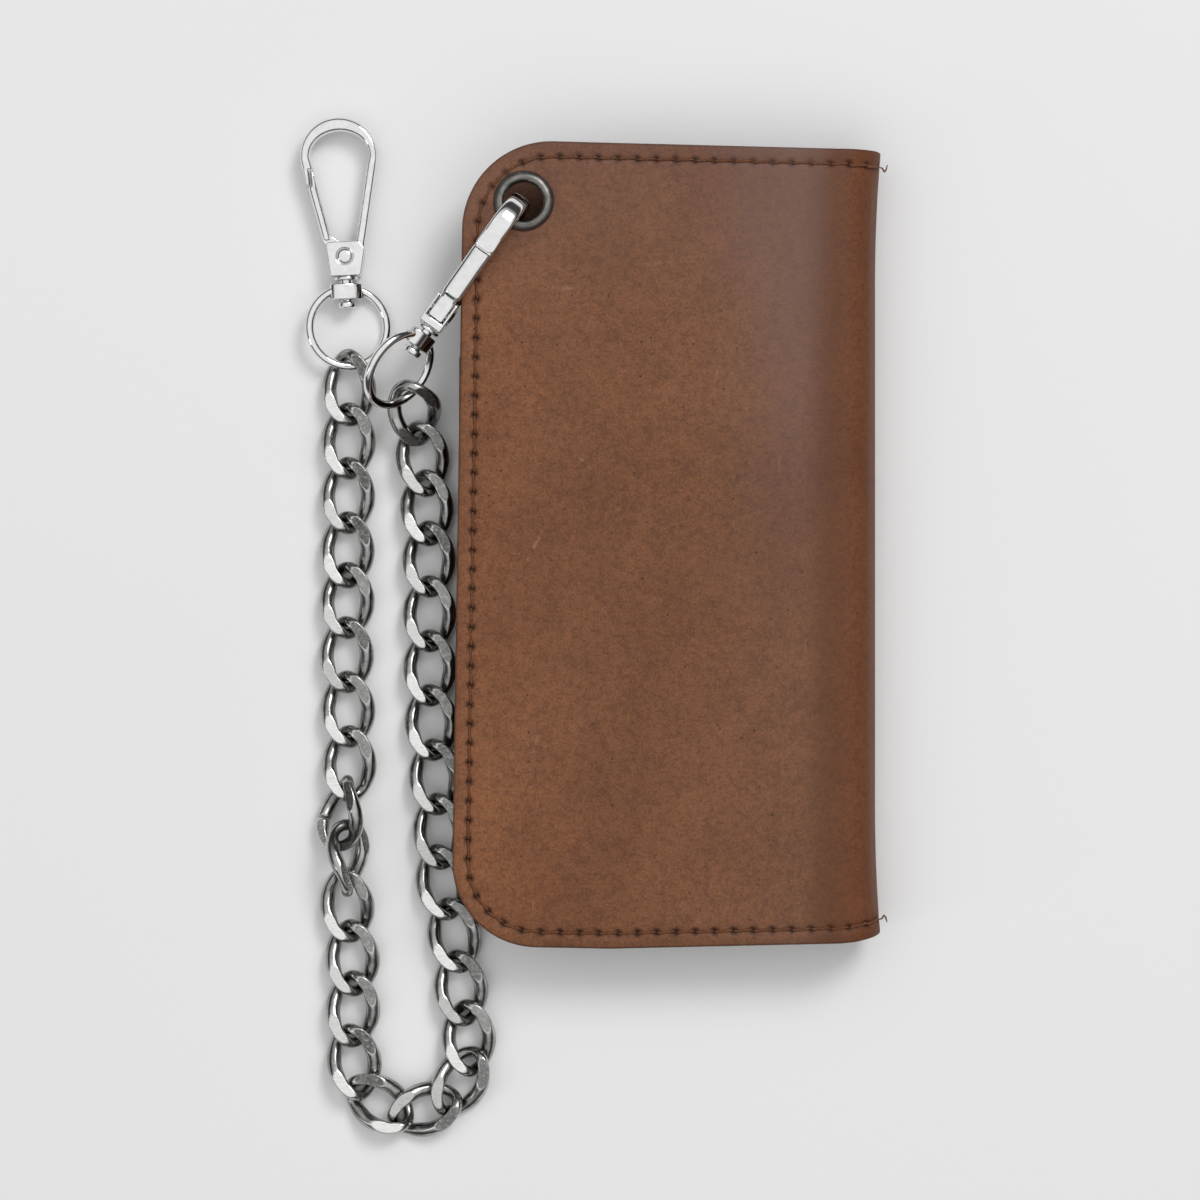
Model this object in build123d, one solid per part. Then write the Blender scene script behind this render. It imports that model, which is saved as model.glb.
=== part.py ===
from build123d import *
import math
import os

os.makedirs("parts", exist_ok=True)

# ---------------------------------------------------------------- driving dimensions (mm)
# leather
cover_t = 2.0            # outer cover leather
lining_t = 1.0           # lining panels
slot_t = 0.9             # card slot leather
closed_h = 19.4          # outside height of the closed wallet
spine_x = 50.0           # outermost face of the fold
spine_r = 9.2            # outside radius of the fold
body_gap = 0.3           # free space between pieces that move apart
front_left_top = (-47.5, 95.5)
front_left_bottom = (-50.4, -94.3)
front_bottom_mid = (-13.0, -95.0)
front_right_top = (spine_x - spine_r - 0.15, 93.2)
front_right_bottom = (spine_x - spine_r - 0.15, -93.8)
front_corner_top_r = 21.0
front_corner_bottom_r = 20.0
back_left_x = -46.9
back_top_y = 93.8
back_bottom_y = -92.5
back_corner_top_r = 20.0
back_corner_bottom_r = 18.0
stitch_margin = 3.6
thread_w = 0.7
thread_h = 0.36
groove_d = 0.25
# eyelet
eye_x, eye_y = -33.3, 80.84
eye_bore_r = 4.7
eye_barrel_r = 5.3
eye_flange_r = 7.15
eye_rim_h = 1.2
# chain link: an oval of round wire, twisted about its long axis, with ground flats
link_a = 5.1             # half width of the wire's centre line
link_b = 8.0             # half length of the wire's centre line
link_twist = 40.0        # degrees at each end
link_wire_r = 1.35
link_flat_h = 5.2        # thickness over the flats
# snap hook (u across the hook, v along it from the base to the bow, w through it)
hook_c = (-0.27, 28.8)
hook_r = 9.31
hook_w = 5.0
base_w = 5.9
slot_w = 4.4
gate_w = 4.9
gate_tail_w = 4.1
pivot = (0.1, 4.75)
pivot_r = 1.15
gate_bore_r = 1.21
ring_r = 9.35
ring_wire_r = 1.05
ring_drop = 12.1         # ring centre below the hook's base
stud_neck_r = 1.5
boss_bore_r = 1.57
hook1_origin = (-55.6, 51.2, 17.2)
hook1_dir = (0.588, 0.809, 0.0)
ring1_tilt = 55.0
ring2_centre = (-75.6, 52.3, 3.3)
hook2_lean = 2.7
ring2_roll = 13.0


def save(solid, name):
    export_step(solid, "parts/%s.step" % name)


def one(s):
    """The single solid held by a result of boolean work."""
    sol = s.solids()
    return max(sol, key=lambda q: q.volume)


# ---------------------------------------------------------------- leather outlines
def front_outline(inset=0.0, right=None):
    pts = [front_left_top, front_right_top, front_right_bottom, front_bottom_mid, front_left_bottom]
    f = make_face(Polyline(*pts, close=True))
    vt = f.vertices().sort_by_distance(Vector(*front_left_top))[0]
    f = fillet(vt, front_corner_top_r)
    vb = f.vertices().sort_by_distance(Vector(*front_left_bottom))[0]
    f = fillet(vb, front_corner_bottom_r)
    if inset:
        f = offset(f, -inset)
    if right is not None:
        f = f & Pos(right - 200, 0) * Rectangle(400, 400)
    return f


def back_outline(inset=0.0, right=None):
    rx = spine_x - spine_r - 0.15
    pts = [(back_left_x, back_top_y), (rx, back_top_y - 0.6), (rx, back_bottom_y - 0.3), (back_left_x, back_bottom_y)]
    f = make_face(Polyline(*pts, close=True))
    vt = f.vertices().sort_by_distance(Vector(*pts[0]))[0]
    f = fillet(vt, back_corner_top_r)
    vb = f.vertices().sort_by_distance(Vector(*pts[3]))[0]
    f = fillet(vb, back_corner_bottom_r)
    if inset:
        f = offset(f, -inset)
    if right is not None:
        f = f & Pos(right - 200, 0) * Rectangle(400, 400)
    return f


def slab(face, z0, z1):
    return Pos(0, 0, z0) * extrude(face, z1 - z0)


def wide(face_fn, inset):
    """Outline whose right edge is pushed out, so an inset leaves the fold side open."""
    big = face_fn()
    big = big + Pos(60, 0) * Rectangle(60, 186)
    return big


front_z1 = closed_h
front_z0 = closed_h - cover_t
lining_z0 = front_z0 - lining_t


def stitch_band(fn, margin, width):
    big = fn() + Pos(70, 0) * Rectangle(70, (93.0 - 0.4) * 2)
    outer = offset(big, -(margin - width / 2))
    inner = offset(big, -(margin + width / 2))
    band = outer - inner
    rx = spine_x - spine_r - 0.4
    return band & Pos(rx - 200, 0) * Rectangle(400, 400)


# ---------------------------------------------------------------- back half (the part that lies on the table)
back_band = stitch_band(back_outline, stitch_margin, thread_w + 0.1)
back_cover = slab(back_outline(), 0, cover_t) - slab(back_band, -0.1, 0.4)
save(one(back_cover), "outer_back_cover")
save(one(slab(stitch_band(back_outline, stitch_margin, thread_w), 0.02, 0.4)), "back_thread")
save(one(slab(back_outline(0.4, 37.0), cover_t, cover_t + lining_t)), "back_lining")
z = cover_t + lining_t
slot_tops = [52.0, 26.0, 0.0]
for i, top in enumerate(slot_tops):
    f = back_outline(0.8 + 0.3 * i, 36.5 - 0.3 * i) & Pos(0, top - 150) * Rectangle(400, 300)
    # a thumb dip in the middle of the opening edge
    f = f - Pos(-4, top + 6) * Circle(12)
    save(one(slab(f, z, z + slot_t)), "card_slot_%d" % (i + 1))
    z += slot_t

# ---------------------------------------------------------------- fold
sr = spine_r
so = Pos(spine_x - sr, sr) * Circle(sr) + Pos(spine_x - sr, closed_h - sr) * Circle(sr) \
    + Pos(spine_x - sr, closed_h / 2) * Rectangle(2 * sr, closed_h - 2 * sr)
si_r = sr - cover_t
si = Pos(spine_x - sr, sr) * Circle(si_r) + Pos(spine_x - sr, closed_h - sr) * Circle(si_r) \
    + Pos(spine_x - sr, closed_h / 2) * Rectangle(2 * si_r, closed_h - 2 * sr)
sec = (so - si) & Pos(spine_x - sr + 0.15 + 100, closed_h / 2) * Rectangle(200, 100)
spine = extrude(Plane.XZ * sec, 93.0, both=True)
save(one(spine), "outer_spine")

# ---------------------------------------------------------------- front half
front_band = stitch_band(front_outline, stitch_margin, thread_w + 0.1)
eye_hole = Pos(eye_x, eye_y, closed_h / 2) * Cylinder(eye_barrel_r, 60)
front_cover = slab(front_outline(), front_z0, front_z1) - slab(front_band, front_z1 - groove_d, front_z1 + 1) - eye_hole
save(one(front_cover), "outer_front_cover")
save(one(slab(stitch_band(front_outline, stitch_margin, thread_w), front_z1 - groove_d, front_z1 - groove_d + thread_h)), "front_thread")
save(one(slab(front_outline(0.4, 37.0), lining_z0, front_z0) - eye_hole), "front_lining")

# eyelet: barrel with a rolled rim, and the washer it is set against
rz = front_z1
with BuildSketch(Plane.XZ) as es:
    with BuildLine():
        Polyline((eye_bore_r, lining_z0 - 1.0), (eye_bore_r, rz + 0.55))
        ThreePointArc((eye_bore_r, rz + 0.55), (eye_bore_r + 0.75, rz + eye_rim_h), (5.75, rz + eye_rim_h))
        ThreePointArc((5.75, rz + eye_rim_h), (6.8, rz + 0.75), (eye_flange_r, rz))
        Polyline((eye_flange_r, rz), (eye_barrel_r, rz), (eye_barrel_r, lining_z0 - 1.0), (eye_bore_r, lining_z0 - 1.0))
    make_face()
barrel = Pos(eye_x, eye_y, 0) * revolve(es.sketch, Axis.Z)
save(one(barrel), "eyelet_barrel")
washer = Pos(eye_x, eye_y, lining_z0 - 0.4) * (Cylinder(eye_flange_r - 0.1, 0.8) - Cylinder(eye_barrel_r, 2))
save(one(washer), "eyelet_washer")

# coin pocket with its zip, on the inner side of the front half
coin_z1 = lining_z0 - 0.5
coin_z0 = coin_z1 - 1.0
zip_x = 20.0
zip_y0, zip_y1 = -76.0, 36.0
coin = front_outline(1.2, 36.2) & Pos(0, 46 - 150) * Rectangle(400, 300)
coin_panel = slab(coin, coin_z0, coin_z1) - Pos(zip_x, (zip_y0 + zip_y1) / 2, coin_z0) * Box(7.0, zip_y1 - zip_y0, 6)
save(one(coin_panel), "coin_panel")
tape = Pos(zip_x, (zip_y0 + zip_y1) / 2, coin_z1 + 0.2) * Box(15, zip_y1 - zip_y0 + 10, 0.4)
save(one(tape), "zip_tape")
teeth = Pos(zip_x, (zip_y0 + zip_y1) / 2, coin_z1 - 0.5) * Box(3.8, zip_y1 - zip_y0 - 2.0, 1.0)
n_teeth = 44
ty0 = zip_y0 + 3.0
step = (zip_y1 - zip_y0 - 6.0) / (n_teeth - 1)
cuts = [Pos(zip_x, ty0 + i * step, coin_z1 - 1.0) * Box(3.2, step * 0.45, 0.7) for i in range(n_teeth)]
teeth = teeth - Compound(children=[one(c) for c in cuts])
save(one(teeth), "zip_teeth")

sl_y = zip_y1 - 9.0
sl_top = coin_z0 - 0.3
slider = Pos(zip_x, sl_y, sl_top - 0.6) * Box(6.2, 9.0, 1.2)
for sx in (-1, 1):
    slider = slider + Pos(zip_x + sx * 2.65, sl_y, sl_top + 0.4) * Box(0.9, 9.0, 1.2)
slider = slider + Pos(zip_x, sl_y + 2.25, sl_top - 1.9) * Box(1.6, 0.8, 1.6) \
    + Pos(zip_x, sl_y - 2.25, sl_top - 1.9) * Box(1.6, 0.8, 1.6) \
    + Pos(zip_x, sl_y, sl_top - 2.95) * Box(1.6, 5.3, 0.7)
save(one(slider), "zip_slider")
pull_z = sl_top - 1.95
pull = Pos(zip_x, sl_y, pull_z) * Box(5.2, 1.1, 0.8)
for sx in (-1, 1):
    pull = pull + Pos(zip_x + sx * 2.0, sl_y - 3.8, pull_z) * Box(1.2, 8.7, 0.8)
pull = pull + Pos(zip_x, sl_y - 13.5, pull_z) * Box(5.2, 12.0, 0.8)
pull = pull - Pos(zip_x, sl_y - 16.5, pull_z) * Cylinder(1.0, 4)
save(one(pull), "zip_pull")

# ---------------------------------------------------------------- snap hooks
def poly(*pts):
    return make_face(Polyline(*pts, close=True))


outer2 = Pos(*hook_c) * Circle(hook_r) + poly((-9.33, 26.66), (-5.37, 9.54), (-4.4, 8.2), (-3.5, 0), (3.7, 0), (8.88, 27.1))
inner2 = Pos(-0.1, 28.8) * Ellipse(7.05, 5.8) + poly((-7.1, 28.8), (-3.15, 10.6), (-2.9, 8.3), (2.88, 8.3), (6.9, 28.8))
loop2 = outer2 - inner2
leg_zone = poly((-14, 8.3), (-2.6, 8.3), (-2.6, 34), (-14, 34))
step_u = -7.45
tip_r = 22.0
lip_r = 18.54
right_of = poly((step_u, 0), (20, 0), (20, 40), (step_u, 40))
left_of = poly((-20, 0), (step_u, 0), (step_u, 40), (-20, 40))
cut2 = (leg_zone & right_of & Pos(*pivot) * Circle(tip_r + 0.2)) + (leg_zone & left_of & Pos(*pivot) * Circle(lip_r + 0.2))
frame2 = loop2 - cut2
base2 = poly((-4.4, 8.2), (-3.5, 0), (3.7, 0), (4.9, 6.3), (3.2, 8.3), (-2.9, 8.3))
slot2 = poly((-8, 2.2), (2.65, 2.2), (2.65, 12), (-8, 12))


def rounded(solid, r):
    try:
        return fillet(solid.edges().group_by(Axis.Z)[-1] + solid.edges().group_by(Axis.Z)[0], r)
    except Exception:
        return solid


bow = extrude(frame2, hook_w / 2, both=True)
bow = rounded(bow, 0.55)
base = extrude(base2, base_w / 2, both=True)
frame = bow + base
frame = frame - extrude(slot2 & base2, slot_w / 2, both=True) - extrude(poly((-8, 2.2), (2.65, 2.2), (2.65, 8.31), (-8, 8.31)), slot_w / 2, both=True)
frame = frame - Pos(pivot[0], pivot[1], 0) * Cylinder(pivot_r, 20)
frame = one(frame)

leg2 = poly((-9.33 - 0.5 * 0.237, 26.66 + 0.5), (-5.37, 9.54), (-5.15, 8.75), (-2.75, 8.75), (-3.15, 10.6), (-6.6, 26.5))
gate_in = leg2 & poly((step_u + 0.15, 0), (20, 0), (20, 40), (step_u + 0.15, 40)) & Pos(*pivot) * Circle(tip_r)
gate_out = leg2 & poly((-20, 0), (step_u + 0.16, 0), (step_u + 0.16, 40), (-20, 40)) & Pos(*pivot) * Circle(lip_r)
gate2 = gate_in + gate_out
lobe2 = make_hull((Pos(*pivot) * Circle(2.3)).edges() + poly((-5.15, 9.0), (-5.15, 8.75), (-2.75, 8.75), (-3.0, 9.8)).edges())
gate = rounded(extrude(gate2, gate_w / 2, both=True), 0.45) + extrude(lobe2, gate_tail_w / 2, both=True)
gate = gate - Pos(pivot[0], pivot[1], 0) * Cylinder(2.55, 2.4) - Pos(pivot[0], pivot[1], 0) * Cylinder(gate_bore_r, 20)
gate = one(gate)

rivet = Pos(pivot[0], pivot[1], 0) * Cylinder(pivot_r, base_w) \
    + Pos(pivot[0], pivot[1], base_w / 2 + 0.14) * Cylinder(2.0, 0.28) \
    + Pos(pivot[0], pivot[1], -base_w / 2 - 0.14) * Cylinder(2.0, 0.28)
rivet = one(rivet)

coil_r, coil_wire = 1.66, 0.2
hx = Helix(pitch=0.55, height=1.65, radius=coil_r)
coil = sweep(Plane(origin=hx @ 0, z_dir=hx % 0) * Circle(coil_wire), path=hx)
coil = one(Pos(pivot[0], pivot[1], -0.825) * coil)

# swivel stud: flange, neck and head, along v below the base
stud = Pos(0, -0.5, 0) * Rot(90, 0, 0) * Cylinder(2.9, 0.9) \
    + Pos(0, -3.4, 0) * Rot(90, 0, 0) * Cylinder(stud_neck_r, 5.6) \
    + Pos(0, -6.85, 0) * Rot(90, 0, 0) * Cylinder(2.25, 1.5)
stud = one(stud)
stud = one(Pos(0, -0.0, 0) * stud)

# swivel ring with its boss, in the (u, v) plane, about the ring centre
ring = Torus(ring_r, ring_wire_r)
boss = Pos(0, ring_drop - 3.6, 0) * Box(8.3, 3.9, 4.6)
boss = fillet(boss.edges().filter_by(Axis.Y), 1.6)
ring = ring + boss
ring = ring - Pos(0, ring_drop - 3.6, 0) * Rot(90, 0, 0) * Cylinder(boss_bore_r, 6.2)
ring = one(ring)


def hook_plane(origin, u, v):
    return Plane(origin=origin, x_dir=u, z_dir=Vector(*u).cross(Vector(*v)))


p1 = hook_plane(hook1_origin, (0, 0, -1), hook1_dir)
ln = math.radians(hook2_lean)
v2 = (-math.sin(ln), math.cos(ln), 0)
u2 = (math.cos(ln), math.sin(ln), 0)
o2 = tuple(Vector(*ring2_centre) + Vector(*v2) * ring_drop)
p2 = hook_plane(o2, u2, v2)
for n, pl in ((1, p1), (2, p2)):
    save(pl.location * frame, "hook_%d_frame" % n)
    save(pl.location * gate, "hook_%d_gate" % n)
    save(pl.location * rivet, "hook_%d_gate_rivet" % n)
    save(pl.location * coil, "hook_%d_gate_spring" % n)
    save(pl.location * stud, "hook_%d_swivel_stud" % n)

d1 = Vector(*hook1_dir).normalized()
side1 = Vector(0.809, -0.588, 0).normalized()
tl = math.radians(ring1_tilt)
w1 = d1.cross(Vector(0, 0, 1) * math.sin(tl) - side1 * math.cos(tl))
c1 = Vector(*hook1_origin) - d1 * ring_drop
u1 = side1 * math.cos(tl) - Vector(0, 0, 1) * math.sin(tl)
ring1 = Plane(origin=c1, x_dir=u1, z_dir=u1.cross(d1)).location * ring
save(ring1, "swivel_ring_1")
ro = math.radians(ring2_roll)
u2r = Vector(*u2) * math.cos(ro) - Vector(0, 0, 1) * math.sin(ro)
ring2 = Plane(origin=Vector(*ring2_centre), x_dir=u2r, z_dir=u2r.cross(Vector(*v2))).location * ring
save(ring2, "swivel_ring_2")

# ---------------------------------------------------------------- chain
def wire_point(t):
    w = math.radians(link_twist) * math.sin(t)
    return Vector(link_a * math.cos(t) * math.cos(w), link_b * math.sin(t), link_a * math.cos(t) * math.sin(w))


def wire_dir(t):
    return (wire_point(t + 1e-4) - wire_point(t - 1e-4)).normalized()


half = []
for t1 in (0.0, math.pi):
    pts = [wire_point(t1 + math.pi * i / 12) for i in range(13)]
    path = Spline(*pts, tangents=[wire_dir(t1), wire_dir(t1 + math.pi)])
    half.append(sweep(Plane(origin=path @ 0, z_dir=path % 0) * Circle(link_wire_r), path=path))
link = (half[0] + half[1]) & Box(30, 30, link_flat_h)
link = one(link)
# the joining link is cut open, with a narrow gap left in its side
open_link = one(link - Pos(-5.0, -2.4, 0) * Rot(0, 0, 20) * Box(6, 0.6, 8))
open_index = 21

# centre, across direction and face direction of each link, from swivel ring 1 to swivel ring 2
link_poses = [
    ((-59.386, 31.797, 6.969), (-0.94049, -0.31885, 0.11751), (0.28424, -0.54862, 0.78627)),
    ((-57.745, 20.781, 3.380), (-0.98259, -0.14063, 0.12144), (0.12918, -0.04726, 0.99049)),
    ((-56.802, 9.063, 2.692), (-0.99790, -0.05896, 0.02672), (0.02566, 0.01868, 0.99950)),
    ((-56.315, -3.224, 2.639), (-0.99979, -0.02012, 0.00486), (0.00480, 0.00286, 0.99998)),
    ((-56.164, -16.278, 2.643), (-0.99992, -0.01057, -0.00718), (-0.00714, -0.00423, 0.99997)),
    ((-56.082, -29.283, 2.660), (-0.99991, -0.00529, 0.01207), (0.01204, 0.00585, 0.99991)),
    ((-55.713, -42.324, 2.641), (-0.99809, -0.06159, 0.00513), (0.00493, 0.00341, 0.99998)),
    ((-54.728, -55.342, 2.635), (-0.99664, -0.08192, -0.00103), (-0.00106, 0.00029, 1.00000)),
    ((-53.795, -68.359, 2.641), (-0.99787, -0.06500, -0.00593), (-0.00570, -0.00374, 0.99998)),
    ((-53.048, -80.536, 2.636), (-0.98159, -0.19099, 0.00359), (0.00313, 0.00270, 0.99999)),
    ((-50.219, -93.235, 2.630), (-0.97937, -0.20209, -0.00031), (-0.00027, -0.00024, 1.00000)),
    ((-48.651, -105.880, 2.630), (-0.99226, -0.12414, -0.00008), (-0.00007, -0.00005, 1.00000)),
    ((-46.792, -117.844, 2.706), (-0.99793, -0.05545, 0.03254), (0.03131, 0.02278, 0.99925)),
    ((-48.734, -128.322, 2.893), (-0.85517, 0.51801, 0.01866), (-0.00087, -0.03743, 0.99930)),
    ((-57.299, -135.005, 2.797), (-0.29520, 0.95507, 0.02652), (-0.00601, -0.02961, 0.99954)),
    ((-68.243, -133.423, 2.921), (0.56481, 0.82398, -0.04532), (-0.02089, 0.06917, 0.99739)),
    ((-74.188, -123.605, 2.830), (0.98362, 0.16083, -0.08136), (0.07183, 0.06418, 0.99535)),
    ((-74.489, -110.919, 2.657), (0.99935, -0.03464, -0.00969), (0.00980, 0.00314, 0.99995)),
    ((-74.631, -98.676, 2.630), (0.99827, 0.05886, -0.00004), (0.00004, 0.00003, 1.00000)),
    ((-75.875, -85.920, 3.066), (0.99240, 0.10996, 0.05527), (-0.04587, -0.08628, 0.99521)),
    ((-75.637, -74.577, 5.592), (0.56013, -0.12577, -0.81880), (0.82837, 0.09339, 0.55234)),
    ((-77.088, -63.910, 5.102), (0.74822, -0.16852, 0.64170), (-0.63842, 0.08032, 0.76549)),
    ((-75.371, -52.189, 2.998), (0.99995, 0.00599, 0.00804), (-0.00833, 0.04934, 0.99875)),
    ((-75.671, -39.156, 2.629), (0.99919, 0.04021, 0.00017), (-0.00017, -0.00012, 1.00000)),
    ((-76.024, -26.111, 2.648), (0.99995, 0.00450, -0.00881), (0.00879, 0.00529, 0.99995)),
    ((-75.859, -13.084, 2.634), (0.99987, -0.01577, -0.00202), (0.00204, 0.00112, 1.00000)),
    ((-75.838, -1.000, 2.630), (0.99994, -0.01109, 0.00025), (-0.00025, -0.00012, 1.00000)),
    ((-75.718, 12.044, 2.632), (0.99996, -0.00886, 0.00098), (-0.00099, -0.00053, 1.00000)),
    ((-75.607, 25.088, 2.635), (0.99999, -0.00221, 0.00268), (-0.00269, -0.00131, 1.00000)),
    ((-75.428, 37.845, 2.975), (0.99500, 0.01063, 0.09931), (-0.09861, -0.05330, 0.99370)),
]
for i, (c, x, zd) in enumerate(link_poses):
    loc = Plane(origin=c, x_dir=x, z_dir=zd).location
    save(loc * (open_link if i == open_index else link), "link_%02d" % (i + 1))
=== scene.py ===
import bpy, bmesh, math
import numpy as np
from mathutils import Vector, Matrix
from mathutils import noise as mnoise
from mathutils.geometry import delaunay_2d_cdt


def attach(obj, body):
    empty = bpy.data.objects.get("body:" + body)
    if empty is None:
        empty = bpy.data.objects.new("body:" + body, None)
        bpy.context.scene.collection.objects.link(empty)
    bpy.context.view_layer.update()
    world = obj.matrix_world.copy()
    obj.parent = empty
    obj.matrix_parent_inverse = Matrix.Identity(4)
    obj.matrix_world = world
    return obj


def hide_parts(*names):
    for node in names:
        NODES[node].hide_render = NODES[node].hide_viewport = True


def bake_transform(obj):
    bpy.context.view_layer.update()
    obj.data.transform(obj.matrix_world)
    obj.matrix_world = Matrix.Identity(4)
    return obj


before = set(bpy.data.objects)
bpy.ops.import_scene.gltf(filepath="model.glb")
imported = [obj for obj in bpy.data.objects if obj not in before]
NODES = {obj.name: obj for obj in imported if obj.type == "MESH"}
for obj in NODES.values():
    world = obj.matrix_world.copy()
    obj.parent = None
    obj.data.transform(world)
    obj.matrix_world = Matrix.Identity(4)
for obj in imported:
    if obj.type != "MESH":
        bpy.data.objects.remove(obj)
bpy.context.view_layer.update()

MM = 0.001
scene = bpy.context.scene
rng = np.random.default_rng(7)

# ------------------------------------------------------------------ helpers
def node(nt, kind, **inp):
    n = nt.nodes.new(kind)
    for k, v in inp.items():
        n.inputs[k.replace("_", " ")].default_value = v
    return n


def link(nt, a, b):
    nt.links.new(a, b)


def new_mat(name):
    m = bpy.data.materials.new(name)
    m.use_nodes = True
    nt = m.node_tree
    for n in list(nt.nodes):
        nt.nodes.remove(n)
    out = nt.nodes.new("ShaderNodeOutputMaterial")
    bs = nt.nodes.new("ShaderNodeBsdfPrincipled")
    link(nt, bs.outputs[0], out.inputs[0])
    return m, nt, bs


def ramp(nt, fac, stops):
    r = nt.nodes.new("ShaderNodeValToRGB")
    el = r.color_ramp.elements
    while len(el) < len(stops):
        el.new(0.5)
    for e, (p, c) in zip(el, stops):
        e.position = p
        e.color = c if len(c) == 4 else (*c, 1)
    link(nt, fac, r.inputs[0])
    return r


def mix(nt, fac, a, b, mode="MIX"):
    n = nt.nodes.new("ShaderNodeMix")
    n.data_type = "RGBA"
    n.blend_type = mode
    n.clamp_factor = True
    if hasattr(fac, "links") or hasattr(fac, "is_output"):
        link(nt, fac, n.inputs[0])
    else:
        n.inputs[0].default_value = fac
    for s, v in ((n.inputs[6], a), (n.inputs[7], b)):
        if isinstance(v, (tuple, list)):
            s.default_value = (*v, 1) if len(v) == 3 else v
        else:
            link(nt, v, s)
    return n.outputs[2]


def math_node(nt, op, a, b=None, clamp=False):
    n = nt.nodes.new("ShaderNodeMath")
    n.operation = op
    n.use_clamp = clamp
    for s, v in ((n.inputs[0], a), (n.inputs[1], b)):
        if v is None:
            continue
        if isinstance(v, (int, float)):
            s.default_value = v
        else:
            link(nt, v, s)
    return n.outputs[0]


def coords(nt, scale=(1, 1, 1), rot=(0, 0, 0), loc=(0, 0, 0)):
    tc = nt.nodes.new("ShaderNodeTexCoord")
    mp = nt.nodes.new("ShaderNodeMapping")
    mp.inputs["Scale"].default_value = scale
    mp.inputs["Rotation"].default_value = rot
    mp.inputs["Location"].default_value = loc
    link(nt, tc.outputs["Object"], mp.inputs[0])
    return mp.outputs[0]


def noise_tex(nt, vec, scale, detail=4, rough=0.55, dist=0.0):
    n = nt.nodes.new("ShaderNodeTexNoise")
    n.inputs["Scale"].default_value = scale
    n.inputs["Detail"].default_value = detail
    n.inputs["Roughness"].default_value = rough
    n.inputs["Distortion"].default_value = dist
    link(nt, vec, n.inputs["Vector"])
    return n.outputs["Fac"]


def voronoi(nt, vec, scale, feature="F1", rnd=1.0):
    n = nt.nodes.new("ShaderNodeTexVoronoi")
    n.feature = feature
    n.inputs["Scale"].default_value = scale
    n.inputs["Randomness"].default_value = rnd
    link(nt, vec, n.inputs["Vector"])
    return n.outputs["Distance"]


def attr(nt, name):
    n = nt.nodes.new("ShaderNodeAttribute")
    n.attribute_name = name
    return n.outputs["Fac"]


def bump(nt, height, strength, distance, normal=None):
    n = nt.nodes.new("ShaderNodeBump")
    n.inputs["Strength"].default_value = strength
    n.inputs["Distance"].default_value = distance
    link(nt, height, n.inputs["Height"])
    if normal is not None:
        link(nt, normal, n.inputs["Normal"])
    return n.outputs["Normal"]


# ------------------------------------------------------------------ materials
MARKS = [(-22.9, 60.3, 5.2, 0.55, -3, 0.40), (-18.7, 19.0, 2.4, 0.45, -48, 0.55), (-30.6, 0.0, 4.6, 0.45, 62, 0.45), (-28.6, -47.5, 4.2, 0.5, 25, 0.35),
         (-30.2, -46.0, 3.0, 0.5, 75, 0.30), (-12.0, 8.0, 2.6, 0.4, 12, 0.35), (6.0, -22.0, 2.2, 0.4, -30, 0.30), (-2.0, 66.0, 6.0, 0.5, 4, 0.22), (12.0, 40.0, 2.0, 0.35, 80, 0.30)]


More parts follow.
